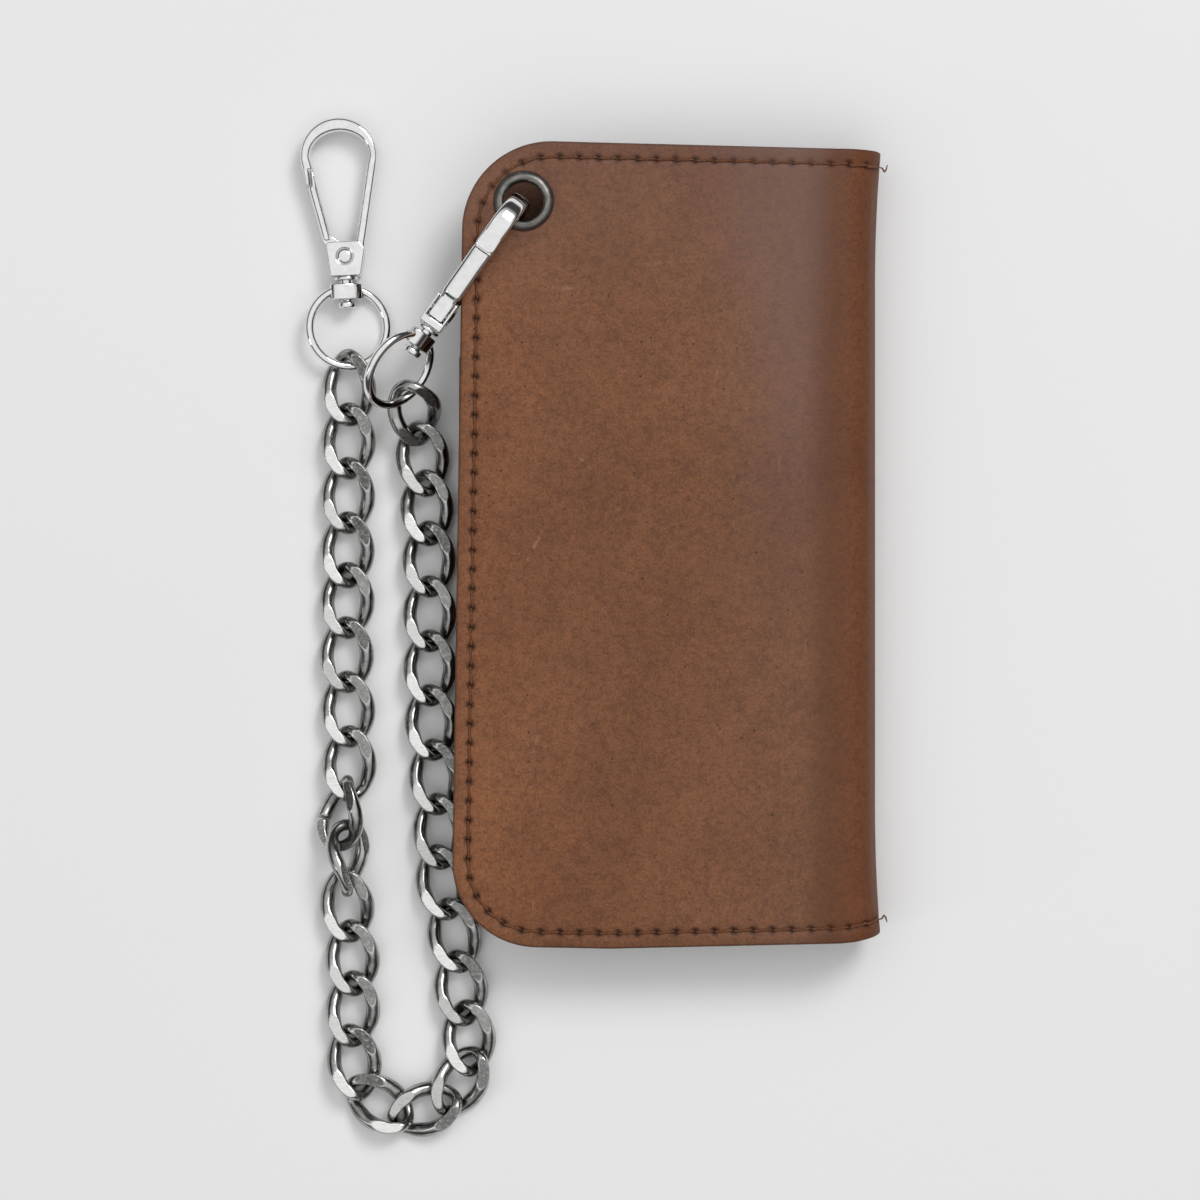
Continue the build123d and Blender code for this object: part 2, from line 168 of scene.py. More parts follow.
def leather_mat(name, base, dark, pale, rough=(0.50, 0.60), grain=1.0, use_attr=True, painted_sheen=True, marks=False):
    m, nt, bs = new_mat(name)
    v = coords(nt)
    big = noise_tex(nt, v, 22, 3, 0.55, 0.3)
    mid = noise_tex(nt, v, 95, 5, 0.62, 0.2)
    fine = noise_tex(nt, v, 1750, 4, 0.62)
    fine2 = noise_tex(nt, v, 640, 3, 0.6)
    speck = noise_tex(nt, v, 1500, 3, 0.7)
    col = ramp(nt, big, [(0.30, dark), (0.52, base), (0.74, pale)]).outputs[0]
    midc = ramp(nt, mid, [(0.30, (0.80, 0.78, 0.76)), (0.55, (1, 1, 1)), (0.78, (1.16, 1.15, 1.14))]).outputs[0]
    col = mix(nt, 0.55, col, midc, "MULTIPLY")
    finec = ramp(nt, fine, [(0.34, (0.66, 0.62, 0.58)), (0.50, (1, 1, 1)), (0.66, (1.24, 1.22, 1.20))]).outputs[0]
    col = mix(nt, 0.80, col, finec, "MULTIPLY")
    finer = ramp(nt, fine2, [(0.34, (0.74, 0.70, 0.66)), (0.50, (1, 1, 1)), (0.66, (1.18, 1.17, 1.15))]).outputs[0]
    col = mix(nt, 0.75, col, finer, "MULTIPLY")
    # sparse pale specks
    sv = voronoi(nt, v, 1150)
    spk = ramp(nt, sv, [(0.0, (1, 1, 1)), (0.16, (1, 1, 1)), (0.26, (0, 0, 0))]).outputs[0]
    sg = ramp(nt, noise_tex(nt, coords(nt, (1, 1, 1), (0, 0, 0), (0.4, 0.1, 0)), 420, 3), [(0.54, (0, 0, 0)), (0.62, (1, 1, 1))]).outputs[0]
    spk = mix(nt, 1.0, spk, sg, "MULTIPLY")
    col = mix(nt, math_node(nt, "MULTIPLY", spk, 0.42), col, tuple(min(1, c * 1.7) for c in pale))
    # tiny open pores, darker
    pv = voronoi(nt, v, 420)
    pores = ramp(nt, pv, [(0.0, (1, 1, 1)), (0.08, (1, 1, 1)), (0.15, (0, 0, 0))]).outputs[0]
    gate = ramp(nt, noise_tex(nt, v, 260, 2), [(0.54, (0, 0, 0)), (0.60, (1, 1, 1))]).outputs[0]
    pores = mix(nt, 1.0, pores, gate, "MULTIPLY")
    col = mix(nt, math_node(nt, "MULTIPLY", pores, 0.85), col, tuple(c * 0.30 for c in dark))
    # sparse pale scratches, long and thin, in two directions
    sc = None
    for k, (sx, sy, rz, lo) in enumerate(((620, 85, 0.5, 0.760), (110, 560, -0.35, 0.765), (520, 95, 2.1, 0.765))):
        vv = coords(nt, (sx, sy, 60), (0, 0, rz), (3.1 * k, 1.7 * k, 0))
        s = noise_tex(nt, vv, 1.0, 2, 0.5, 0.15)
        s = ramp(nt, s, [(lo, (0, 0, 0)), (lo + 0.03, (1, 1, 1))]).outputs[0]
        sc = s if sc is None else mix(nt, 1.0, sc, s, "ADD")
    col = mix(nt, math_node(nt, "MULTIPLY", sc, 0.30), col, tuple(min(1, c * 1.8) for c in pale))
    if marks:
        # rubbed marks and scuffs: centre, half length, half width (mm), angle
        for k, (mx, my, hl, hw, ang, amt) in enumerate(MARKS):
            mp = nt.nodes.new("ShaderNodeMapping")
            mp.vector_type = "TEXTURE"
            mp.inputs["Location"].default_value = (mx * MM, my * MM, 0)
            mp.inputs["Rotation"].default_value = (0, 0, math.radians(ang))
            mp.inputs["Scale"].default_value = (hl * MM, hw * MM, 50.0)
            link(nt, v, mp.inputs[0])
            gr = nt.nodes.new("ShaderNodeTexGradient")
            gr.gradient_type = "SPHERICAL"
            link(nt, mp.outputs[0], gr.inputs[0])
            sm = ramp(nt, gr.outputs["Fac"], [(0.0, (0, 0, 0)), (0.45, (1, 1, 1))]).outputs[0]
            br = ramp(nt, fine2, [(0.42, (0, 0, 0)), (0.58, (1, 1, 1))]).outputs[0]
            f_ = math_node(nt, "MULTIPLY", math_node(nt, "MULTIPLY", sm, br), amt, True)
            col = mix(nt, f_, col, (0.36, 0.20, 0.115))
    if use_attr:
        # painted shade: the cut edges and their sides darkened towards black, with a softer band of painted shade just
        # inside the edge
        e = attr(nt, "edge")
        col = mix(nt, math_node(nt, "MULTIPLY", e, 0.80), col, (0.022, 0.010, 0.007))
        # painted shade: dark blots in the stitch holes and a darker band along the stitch groove
        h = attr(nt, "hole")
        col = mix(nt, math_node(nt, "MULTIPLY", h, 0.92), col, (0.010, 0.004, 0.003))
        # painted shade: the leather darkens towards the fold and over the spine
        fold_shade_fac = attr(nt, "fold_shade")
        col = mix(nt, fold_shade_fac, col, tuple(c * 0.50 for c in base))
        if painted_sheen:
            # painted reflection: a grey-violet sheen mixed into the colour near the fold and along the top
            painted_sheen_fac = attr(nt, "painted_sheen")
            col = mix(nt, math_node(nt, "MULTIPLY", painted_sheen_fac, 0.50), col, (0.188, 0.112, 0.098))
            # painted highlight: the leather lighter along the left edge and at the lower left
            pl = attr(nt, "pale")
            col = mix(nt, math_node(nt, "MULTIPLY", pl, 0.92), col, mix(nt, 1.0, col, (1.40, 1.38, 1.33), "MULTIPLY"))
            # tint of the painted fold shade: the leather redder towards the fold
            wm = attr(nt, "warm")
            col = mix(nt, wm, col, mix(nt, 1.0, col, (1.03, 0.86, 0.70), "MULTIPLY"))
    link(nt, col, bs.inputs["Base Color"])
    rr = math_node(nt, "ADD", math_node(nt, "MULTIPLY", mid, rough[1] - rough[0]), rough[0])
    link(nt, rr, bs.inputs["Roughness"])
    bs.inputs["Specular IOR Level"].default_value = 0.28
    bs.inputs["Sheen Weight"].default_value = 0.02
    bs.inputs["Sheen Roughness"].default_value = 0.5
    g1 = noise_tex(nt, v, 1050, 5, 0.6)
    cells = voronoi(nt, v, 1150, "SMOOTH_F1")
    hgt = math_node(nt, "ADD", math_node(nt, "MULTIPLY", g1, 0.6), math_node(nt, "MULTIPLY", cells, 0.5))
    hgt = math_node(nt, "SUBTRACT", hgt, math_node(nt, "MULTIPLY", pores, 0.5))
    nrm = bump(nt, hgt, 0.42 * grain, 0.00028)
    nrm = bump(nt, noise_tex(nt, v, 130, 4, 0.5), 0.22 * grain, 0.0006, nrm)
    link(nt, nrm, bs.inputs["Normal"])
    return m


BROWN = (0.188, 0.0735, 0.0305)
BROWN_D = (0.160, 0.0595, 0.0238)
BROWN_P = (0.214, 0.0865, 0.0380)
M_COVER = leather_mat("cover_leather_wax", BROWN, BROWN_D, BROWN_P, marks=True)
M_LINING = leather_mat("lining_leather_smooth", (0.120, 0.055, 0.030), (0.095, 0.042, 0.023), (0.145, 0.070, 0.040), (0.5, 0.7), 0.7, painted_sheen=False)


def thread_mat():
    m, nt, bs = new_mat("waxed_thread")
    v = coords(nt)
    tw = noise_tex(nt, v, 2600, 3, 0.6)
    col = ramp(nt, tw, [(0.3, (0.085, 0.031, 0.014)), (0.55, (0.170, 0.066, 0.030)), (0.8, (0.28, 0.125, 0.065))]).outputs[0]
    link(nt, col, bs.inputs["Base Color"])
    bs.inputs["Roughness"].default_value = 0.62
    bs.inputs["Specular IOR Level"].default_value = 0.2
    link(nt, bump(nt, tw, 0.6, 0.0001), bs.inputs["Normal"])
    return m


M_THREAD = thread_mat()


def metal_mat(name, col_a, col_b, rough_a, rough_b, scale=260, bump_s=0.05, grime=None, scratches=0.0):
    m, nt, bs = new_mat(name)
    v = coords(nt)
    n = noise_tex(nt, v, scale, 5, 0.6)
    col = ramp(nt, n, [(0.30, col_a), (0.70, col_b)]).outputs[0]
    r = math_node(nt, "ADD", math_node(nt, "MULTIPLY", n, rough_b - rough_a), rough_a)
    bs.inputs["Metallic"].default_value = 1.0
    h = n
    if scratches:
        vv = coords(nt, (2600, 160, 900), (0, 0, 0.6))
        s = noise_tex(nt, vv, 1.0, 3, 0.6)
        r = math_node(nt, "ADD", r, math_node(nt, "MULTIPLY", s, scratches), True)
        h = math_node(nt, "ADD", math_node(nt, "MULTIPLY", n, 0.4), math_node(nt, "MULTIPLY", s, 0.6))
    if grime is not None:
        g = noise_tex(nt, v, 700, 4, 0.65)
        gm = ramp(nt, g, [(0.52, (0, 0, 0)), (0.66, (1, 1, 1))]).outputs[0]
        col = mix(nt, math_node(nt, "MULTIPLY", gm, grime), col, (0.05, 0.045, 0.04))
        r = math_node(nt, "ADD", r, math_node(nt, "MULTIPLY", gm, grime * 0.35), True)
    link(nt, col, bs.inputs["Base Color"])
    link(nt, r, bs.inputs["Roughness"])
    link(nt, bump(nt, h, bump_s, 0.0001), bs.inputs["Normal"])
    return m


M_CHROME = metal_mat("hook_nickel", (0.76, 0.76, 0.755), (0.87, 0.87, 0.865), 0.03, 0.10, 420, 0.04)
M_SPRING = metal_mat("spring_wire", (0.45, 0.45, 0.45), (0.6, 0.6, 0.6), 0.2, 0.35)
M_EYE = metal_mat("eyelet_antique", (0.13, 0.125, 0.115), (0.27, 0.262, 0.245), 0.28, 0.44, 500, 0.10, 0.35)
M_BRASS = metal_mat("zip_antique_brass", (0.30, 0.21, 0.10), (0.55, 0.41, 0.21), 0.25, 0.42, 500, 0.10, 0.3)


def chain_mat():
    m, nt, bs = new_mat("chain_antique_steel")
    v = coords(nt)
    bs.inputs["Metallic"].default_value = 1.0
    n1 = noise_tex(nt, v, 330, 5, 0.65)
    n2 = noise_tex(nt, v, 1500, 4, 0.6)
    wire = ramp(nt, n1, [(0.30, (0.34, 0.335, 0.32)), (0.55, (0.54, 0.535, 0.52)), (0.75, (0.68, 0.675, 0.66))]).outputs[0]
    # painted shade on the wire's sides and inner face, broken up by noise into grime
    side_shade_fac = attr(nt, "side_shade")
    grime = math_node(nt, "MULTIPLY", side_shade_fac, math_node(nt, "ADD", math_node(nt, "MULTIPLY", n2, 0.9), 0.45), True)
    wire = mix(nt, grime, wire, (0.045, 0.043, 0.040))
    vv = coords(nt, (420, 3600, 800), (0, 0, 0.5))
    sc = noise_tex(nt, vv, 1.0, 4, 0.7)
    flatc = ramp(nt, sc, [(0.30, (0.66, 0.655, 0.64)), (0.55, (0.86, 0.855, 0.84)), (0.80, (0.95, 0.945, 0.93))]).outputs[0]
    fl = attr(nt, "flat")
    col = mix(nt, fl, wire, flatc)
    # painted shade: one top flat of each link darkened and speckled, by a random amount per link
    dl = attr(nt, "flat_shade")
    flat_shade_col = ramp(nt, noise_tex(nt, v, 1300, 4, 0.7), [(0.38, (0.08, 0.08, 0.077)), (0.55, (0.16, 0.16, 0.155)), (0.70, (0.38, 0.375, 0.36))]).outputs[0]
    col = mix(nt, dl, col, flat_shade_col)
    link(nt, col, bs.inputs["Base Color"])
    rw = math_node(nt, "ADD", math_node(nt, "MULTIPLY", n1, 0.20), 0.10)
    rf = math_node(nt, "ADD", math_node(nt, "MULTIPLY", sc, 0.22), 0.16)
    mr = nt.nodes.new("ShaderNodeMix")
    mr.data_type = "FLOAT"
    link(nt, fl, mr.inputs[0]); link(nt, rw, mr.inputs[2]); link(nt, rf, mr.inputs[3])
    link(nt, mr.outputs[0], bs.inputs["Roughness"])
    hh = math_node(nt, "ADD", math_node(nt, "MULTIPLY", n2, 0.5), math_node(nt, "MULTIPLY", sc, 0.5))
    link(nt, bump(nt, hh, 0.16, 0.00012), bs.inputs["Normal"])
    return m


M_CHAIN = chain_mat()


def weave_mat():
    m, nt, bs = new_mat("zip_tape_weave")
    v = coords(nt)
    w = nt.nodes.new("ShaderNodeTexWave")
    w.wave_type = "BANDS"; w.bands_direction = "Y"
    w.inputs["Scale"].default_value = 620
    w.inputs["Distortion"].default_value = 1.2
    link(nt, v, w.inputs["Vector"])
    w2 = nt.nodes.new("ShaderNodeTexWave")
    w2.bands_direction = "X"
    w2.inputs["Scale"].default_value = 480
    link(nt, v, w2.inputs["Vector"])
    h = math_node(nt, "MULTIPLY", w.outputs["Fac"], w2.outputs["Fac"])
    col = ramp(nt, h, [(0.1, (0.020, 0.012, 0.009)), (0.8, (0.075, 0.048, 0.036))]).outputs[0]
    link(nt, col, bs.inputs["Base Color"])
    bs.inputs["Roughness"].default_value = 0.9
    bs.inputs["Sheen Weight"].default_value = 0.3
    link(nt, bump(nt, h, 0.5, 0.0002), bs.inputs["Normal"])
    return m


M_TAPE = weave_mat()

# centre, across direction and face direction of each link (mm), as in the part
LINK_POSES = [
    ((-59.386, 31.797, 6.969), (-0.94049, -0.31885, 0.11751), (0.28424, -0.54862, 0.78627)),
    ((-57.745, 20.781, 3.380), (-0.98259, -0.14063, 0.12144), (0.12918, -0.04726, 0.99049)),
    ((-56.802, 9.063, 2.692), (-0.99790, -0.05896, 0.02672), (0.02566, 0.01868, 0.99950)),
    ((-56.315, -3.224, 2.639), (-0.99979, -0.02012, 0.00486), (0.00480, 0.00286, 0.99998)),
    ((-56.164, -16.278, 2.643), (-0.99992, -0.01057, -0.00718), (-0.00714, -0.00423, 0.99997)),
    ((-56.082, -29.283, 2.660), (-0.99991, -0.00529, 0.01207), (0.01204, 0.00585, 0.99991)),
    ((-55.713, -42.324, 2.641), (-0.99809, -0.06159, 0.00513), (0.00493, 0.00341, 0.99998)),
    ((-54.728, -55.342, 2.635), (-0.99664, -0.08192, -0.00103), (-0.00106, 0.00029, 1.00000)),
    ((-53.795, -68.359, 2.641), (-0.99787, -0.06500, -0.00593), (-0.00570, -0.00374, 0.99998)),
    ((-53.048, -80.536, 2.636), (-0.98159, -0.19099, 0.00359), (0.00313, 0.00270, 0.99999)),
    ((-50.219, -93.235, 2.630), (-0.97937, -0.20209, -0.00031), (-0.00027, -0.00024, 1.00000)),
    ((-48.651, -105.880, 2.630), (-0.99226, -0.12414, -0.00008), (-0.00007, -0.00005, 1.00000)),
    ((-46.792, -117.844, 2.706), (-0.99793, -0.05545, 0.03254), (0.03131, 0.02278, 0.99925)),
    ((-48.734, -128.322, 2.893), (-0.85517, 0.51801, 0.01866), (-0.00087, -0.03743, 0.99930)),
    ((-57.299, -135.005, 2.797), (-0.29520, 0.95507, 0.02652), (-0.00601, -0.02961, 0.99954)),
    ((-68.243, -133.423, 2.921), (0.56481, 0.82398, -0.04532), (-0.02089, 0.06917, 0.99739)),
    ((-74.188, -123.605, 2.830), (0.98362, 0.16083, -0.08136), (0.07183, 0.06418, 0.99535)),
    ((-74.489, -110.919, 2.657), (0.99935, -0.03464, -0.00969), (0.00980, 0.00314, 0.99995)),
    ((-74.631, -98.676, 2.630), (0.99827, 0.05886, -0.00004), (0.00004, 0.00003, 1.00000)),
    ((-75.875, -85.920, 3.066), (0.99240, 0.10996, 0.05527), (-0.04587, -0.08628, 0.99521)),
    ((-75.637, -74.577, 5.592), (0.56013, -0.12577, -0.81880), (0.82837, 0.09339, 0.55234)),
    ((-77.088, -63.910, 5.102), (0.74822, -0.16852, 0.64170), (-0.63842, 0.08032, 0.76549)),
    ((-75.371, -52.189, 2.998), (0.99995, 0.00599, 0.00804), (-0.00833, 0.04934, 0.99875)),
    ((-75.671, -39.156, 2.629), (0.99919, 0.04021, 0.00017), (-0.00017, -0.00012, 1.00000)),
    ((-76.024, -26.111, 2.648), (0.99995, 0.00450, -0.00881), (0.00879, 0.00529, 0.99995)),
    ((-75.859, -13.084, 2.634), (0.99987, -0.01577, -0.00202), (0.00204, 0.00112, 1.00000)),
    ((-75.838, -1.000, 2.630), (0.99994, -0.01109, 0.00025), (-0.00025, -0.00012, 1.00000)),
    ((-75.718, 12.044, 2.632), (0.99996, -0.00886, 0.00098), (-0.00099, -0.00053, 1.00000)),
    ((-75.607, 25.088, 2.635), (0.99999, -0.00221, 0.00268), (-0.00269, -0.00131, 1.00000)),
    ((-75.428, 37.845, 2.975), (0.99500, 0.01063, 0.09931), (-0.09861, -0.05330, 0.99370)),
]

# ------------------------------------------------------------------ mesh making
def make(name, verts, faces, mat, body=None, replaces=(), attrs=None, sharp=None, smooth=True, recalc=True):
    """An object from points in millimetres."""
    me = bpy.data.meshes.new(name)
    me.from_pydata([tuple(float(c) * MM for c in v) for v in verts], [], faces)
    me.update()
    if recalc:
        bm = bmesh.new()
        bm.from_mesh(me)
        bmesh.ops.recalc_face_normals(bm, faces=bm.faces)
        bm.to_mesh(me)
        bm.free()
    if smooth:
        me.polygons.foreach_set("use_smooth", [True] * len(me.polygons))
    for k, arr in (attrs or {}).items():
        a = me.attributes.new(k, "FLOAT", "POINT")
        a.data.foreach_set("value", np.asarray(arr, dtype=np.float32))
    if sharp is not None:
        for e in me.edges:
            if sharp(e.vertices[0], e.vertices[1]):
                e.use_edge_sharp = True
    me.materials.append(mat)
    ob = bpy.data.objects.new(name, me)
    scene.collection.objects.link(ob)
    if body:
        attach(ob, body)
    if replaces:
        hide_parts(*replaces)
    return ob


def rounded_poly(pts, radii, step=1.3):
    """Closed outline, counter-clockwise, with arcs at its corners, sampled every step."""
    out = []
    n = len(pts)
    P = [np.array(p, float) for p in pts]
    segs = []
    for i in range(n):
        a, b, c = P[i - 1], P[i], P[(i + 1) % n]
        u, w = (a - b), (c - b)
        lu, lw = np.linalg.norm(u), np.linalg.norm(w)
        u, w = u / lu, w / lw
        r = radii[i]
        if r <= 0:
            segs.append([b])
            continue
        ang = math.acos(max(-1, min(1, float(u @ w))))
        t = r / math.tan(ang / 2)
        p0, p1 = b + u * t, b + w * t
        bis = (u + w) / np.linalg.norm(u + w)
        cen = b + bis * (r / math.sin(ang / 2))
        a0 = math.atan2(*(p0 - cen)[::-1])
        a1 = math.atan2(*(p1 - cen)[::-1])
        d = (a1 - a0 + math.pi) % (2 * math.pi) - math.pi
        k = max(3, int(abs(d) * r / step))
        segs.append([cen + r * np.array([math.cos(a0 + d * q / k), math.sin(a0 + d * q / k)]) for q in range(k + 1)])
    for i in range(n):
        s, nx = segs[i], segs[(i + 1) % n]
        out += s
        a, b = s[-1], nx[0]
        L = np.linalg.norm(b - a)
        k = int(L / step)
        for q in range(1, k):
            out.append(a + (b - a) * q / k)
    return np.array(out)


def normals_of(L):
    t = np.roll(L, -1, 0) - np.roll(L, 1, 0)
    t /= np.linalg.norm(t, axis=1)[:, None]
    return np.c_[-t[:, 1], t[:, 0]]


def inside(poly, P):
    x, y = P[:, 0], P[:, 1]
    c = np.zeros(len(P), bool)
    x1, y1 = poly[:, 0], poly[:, 1]
    x2, y2 = np.roll(x1, -1), np.roll(y1, -1)
    for a, b, cc, d in zip(x1, y1, x2, y2):
        if b == d:
            continue
        m = ((b > y) != (d > y)) & (x < (cc - a) * (y - b) / (d - b) + a)
        c ^= m
    return c


def dist_to(L, P, closed=True):
    """Distance from each point of P to the line L."""
    A = L if closed else L[:-1]
    B = np.roll(L, -1, 0) if closed else L[1:]
    best = np.full(len(P), 1e9)
    for i in range(0, len(P), 2000):
        Q = P[i:i + 2000]
        d = B - A
        l2 = (d ** 2).sum(1) + 1e-12
        t = np.clip(((Q[:, None] - A[None]) * d[None]).sum(2) / l2, 0, 1)
        pr = A[None] + t[..., None] * d[None]
        best[i:i + 2000] = np.sqrt(((Q[:, None] - pr) ** 2).sum(2)).min(1)
    return best


def sheet_shape(loops, T, er, spacing, relief, fmap, split=None, extra=None, back_relief=None, skip_d=None, prof=4):
    """A sheet of leather with rounded cut edges. loops[0] runs counter-clockwise, the others clockwise.
    relief(P, d) gives the height of the face over its flat level; d is the distance to the edge."""
    pts2, edges, qidx, nrm, ers = [], [], [], [], []
    for L in loops:
        n = normals_of(L)
        e = np.full(len(L), er)
        if split is not None:
            e[split(L)] = 0.0
        Q = L + n * e[:, None]
        s = len(pts2)
        pts2 += [tuple(q) for q in Q]
        edges += [(s + i, s + (i + 1) % len(L)) for i in range(len(L))]
        qidx.append(list(range(s, s + len(L))))
        nrm.append(n)
        ers.append(e)
    lo, hi = loops[0].min(0), loops[0].max(0)
    gx = np.arange(lo[0] + spacing * 0.4, hi[0], spacing)
    gy = np.arange(lo[1] + spacing * 0.4, hi[1], spacing * 0.866)
    G = np.array([(x + (0.5 * spacing if j % 2 else 0), y) for j, y in enumerate(gy) for x in gx])
    G = G[inside(loops[0], G)]
    for L in loops[1:]:
        G = G[~inside(L, G)]
    real = [L if split is None else L[~split(L)] for L in loops]
    dmin = np.min([dist_to(L, G) for L in loops], axis=0)
    G = G[dmin > (skip_d or (er + spacing * 0.45))]
    if extra is not None and len(extra):
        E_ = np.asarray(extra)
        E_ = E_[inside(loops[0], E_)]
        for L in loops[1:]:
            E_ = E_[~inside(L, E_)]
        E_ = E_[np.min([dist_to(L, E_) for L in loops], axis=0) > er + 0.25]
        # grid points that crowd the extra points go
        if len(E_):
            keep = np.ones(len(G), bool)
            for i in range(0, len(G), 1500):
                keep[i:i + 1500] = np.sqrt(((G[i:i + 1500, None] - E_[None]) ** 2).sum(2)).min(1) > spacing * 0.5
            G = G[keep]
            G = np.vstack([G, E_])
    base = len(pts2)
    pts2 += [tuple(g) for g in G]
    vo, eo, fo, ov, oe, of_ = delaunay_2d_cdt([Vector(p) for p in pts2], edges, [], 1, 1e-5, True)
    V = np.array([tuple(v) for v in vo])
    where = {}
    for k, src in enumerate(ov):
        for i in src:
            where[i] = k
    F = np.array([f for f in fo if len(f) == 3])
    cen = V[F].mean(1)
    ok = inside(np.array([pts2[i] for i in qidx[0]]), cen)
    for q in qidx[1:]:
        ok &= ~inside(np.array([pts2[i] for i in q]), cen)
    F = F[ok]
    d = np.min([dist_to(L, V) for L in loops], axis=0)
    # where the outline is only the split line, the distance to the true edge counts
    if split is not None:
        m = ~split(loops[0])
        idx = np.nonzero(m)[0]
        # the true edge is one run of points: roll so that it is contiguous
        brk = [i for i in range(len(m)) if m[i] and not m[i - 1]]
        run = np.roll(loops[0], -brk[0], 0)[:m.sum()]
        d = dist_to(run, V, closed=False)
        for L in loops[1:]:
            d = np.minimum(d, dist_to(L, V))
    htop = relief(V, d)
    hbot = back_relief(V, d) if back_relief else np.zeros(len(V))
    nv = len(V)
    verts = [fmap(x, y, h) for (x, y), h in zip(V, htop)] + [fmap(x, y, -T + h) for (x, y), h in zip(V, hbot)]
    att_d = list(d) + list(d)
    top = [1.0] * nv + [0.0] * nv
    P2 = [tuple(p) for p in V] * 2
    faces = [tuple(map(int, f)) for f in F] + [tuple(int(k) + nv for k in f[::-1]) for f in F]
    sharp_set = set()
    for L, q, n, e in zip(loops, qidx, nrm, ers):
        m = len(L)
        rings = [[where[i] for i in q]]
        levels = []
        for k in range(1, prof + 1):
            a = math.pi / 2 * k / prof
            levels.append((1 - math.sin(a), -er * (1 - math.cos(a))))
        lv2 = [(f_, -T - h_) for f_, h_ in levels[::-1]]
        for lv, (f_, h_) in enumerate(levels + lv2):
            ring = []
            for i in range(m):
                x, y = L[i] + n[i] * (e[i] * f_)
                # follow the face's relief near the edge, so the edge has no step
                k0 = where[q[i]]
                top_h, bot_h = htop[k0], -T + hbot[k0]
                span_true = top_h - bot_h
                hh = top_h + h_ / T * span_true if e[i] > 0 else top_h + h_ / T * span_true
                ring.append(len(verts))
                verts.append(fmap(x, y, hh))
                att_d.append(max(0.0, float(d[k0]) * f_))
                top.append(0.5)
                P2.append((x, y))
            rings.append(ring)
        rings.append([where[i] + nv for i in q])
        for a, b in zip(rings[:-1], rings[1:]):
            for i in range(m):
                j = (i + 1) % m
                faces.append((a[i], a[j], b[j], b[i]))
        if split is not None:
            s = split(L)
            for r in (rings[0], rings[-1]):
                for i in range(m):
                    j = (i + 1) % m
                    if s[i] and s[j]:
                        sharp_set.add(frozenset((r[i], r[j])))
    return verts, faces, np.array(att_d), np.array(P2), np.array(top), sharp_set


# ------------------------------------------------------------------ the outer leather
T = 2.0
SX, SR, H = 50.0, 9.2, 19.4
XS = SX - SR
ARC = math.pi / 2 * SR
FLAT = H - 2 * SR
S1 = XS + ARC
S2 = S1 + FLAT
S3 = S2 + ARC
S_MID = S1 + FLAT / 2


def flare(y):
    a = max(0.0, (abs(y + 0.2) - 62.0) / 31.0)
    return 1.25 * min(1.0, a) ** 2


def cover_map(s, y, h):
    """Along the outside of the leather, from the back cover round the fold to the front cover."""
    f = flare(y)
    if s <= XS:
        return (s, y, -h)
    if s <= S1:
        a = (s - XS) / SR
        w = math.sin(a) ** 2
        return (XS + (SR + h) * math.sin(a) + f * w, y, SR - (SR + h) * math.cos(a))
    if s <= S2:
        return (SX + h + f, y, SR + (s - S1))
    if s <= S3:
        a = (s - S2) / SR
        w = math.cos(a) ** 2
        return (XS + (SR + h) * math.cos(a) + f * w, y, H - SR + (SR + h) * math.sin(a))
    return (XS - (s - S3), y, H + h)


def s_of_front_x(x):
    return S3 + XS - x


front_pts = [(S_MID, 93.15), (S_MID, -92.0), (S2 + 3.0, -92.3), (S3 - 4.0, -93.5), (s_of_front_x(XS), -93.8), (s_of_front_x(-13.0), -95.0), (s_of_front_x(-50.4), -94.3), (s_of_front_x(-47.5), 95.5), (s_of_front_x(XS), 93.2)]
front_rad = [0, 0, 8.0, 12.0, 0, 0, 20.0, 21.0, 0]
# counter-clockwise in (s, y)
FRONT_L = rounded_poly(front_pts, front_rad, 1.1)
back_pts = [(-46.9, 93.8), (-46.9, -92.5), (XS, -92.8), (S1 - 2.0, -92.2), (S_MID, -92.0), (S_MID, 93.15), (XS, 93.2)]
back_rad = [20.0, 18.0, 0, 10.0, 0, 0, 0]
BACK_L = rounded_poly(back_pts, back_rad, 1.1)


def area2(L):
    x, y = L[:, 0], L[:, 1]
    return 0.5 * float((x * np.roll(y, -1) - y * np.roll(x, -1)).sum())


if area2(FRONT_L) < 0:
    FRONT_L = FRONT_L[::-1]
if area2(BACK_L) < 0:
    BACK_L = BACK_L[::-1]


def split_f(L):
    return np.abs(L[:, 0] - S_MID) < 0.01


def stitch_line(L, margin, s_stop, front):
    """Points at the margin inside the edge, every pitch, from the top edge round the open side to the bottom edge."""
    m = ~split_f(L)
    brk = [i for i in range(len(m)) if m[i] and not m[i - 1]]
    run = np.roll(L, -brk[0], 0)
    nr = np.roll(normals_of(L), -brk[0], 0)
    k = int(m.sum())
    # the corners of the run at the split have skewed normals
    run, nr = run[:k], nr[:k]
    nr[0] = nr[1]; nr[-1] = nr[-2]
    Q = run + nr * margin
    keep = (Q[:, 0] > s_stop) if front else (Q[:, 0] < s_stop)
    Q = Q[keep]
    seg = np.linalg.norm(np.diff(Q, axis=0), axis=1)
    cum = np.r_[0, np.cumsum(seg)]
    n = int(round(cum[-1] / PITCH))
    at = np.linspace(0, cum[-1], n + 1)
    return np.c_[np.interp(at, cum, Q[:, 0]), np.interp(at, cum, Q[:, 1])]


PITCH = 4.55
MARGIN = 3.65
ST_F = stitch_line(FRONT_L, MARGIN, S1 + 3.5, True)
ST_B = stitch_line(BACK_L, MARGIN, S2 - 4.5, False)


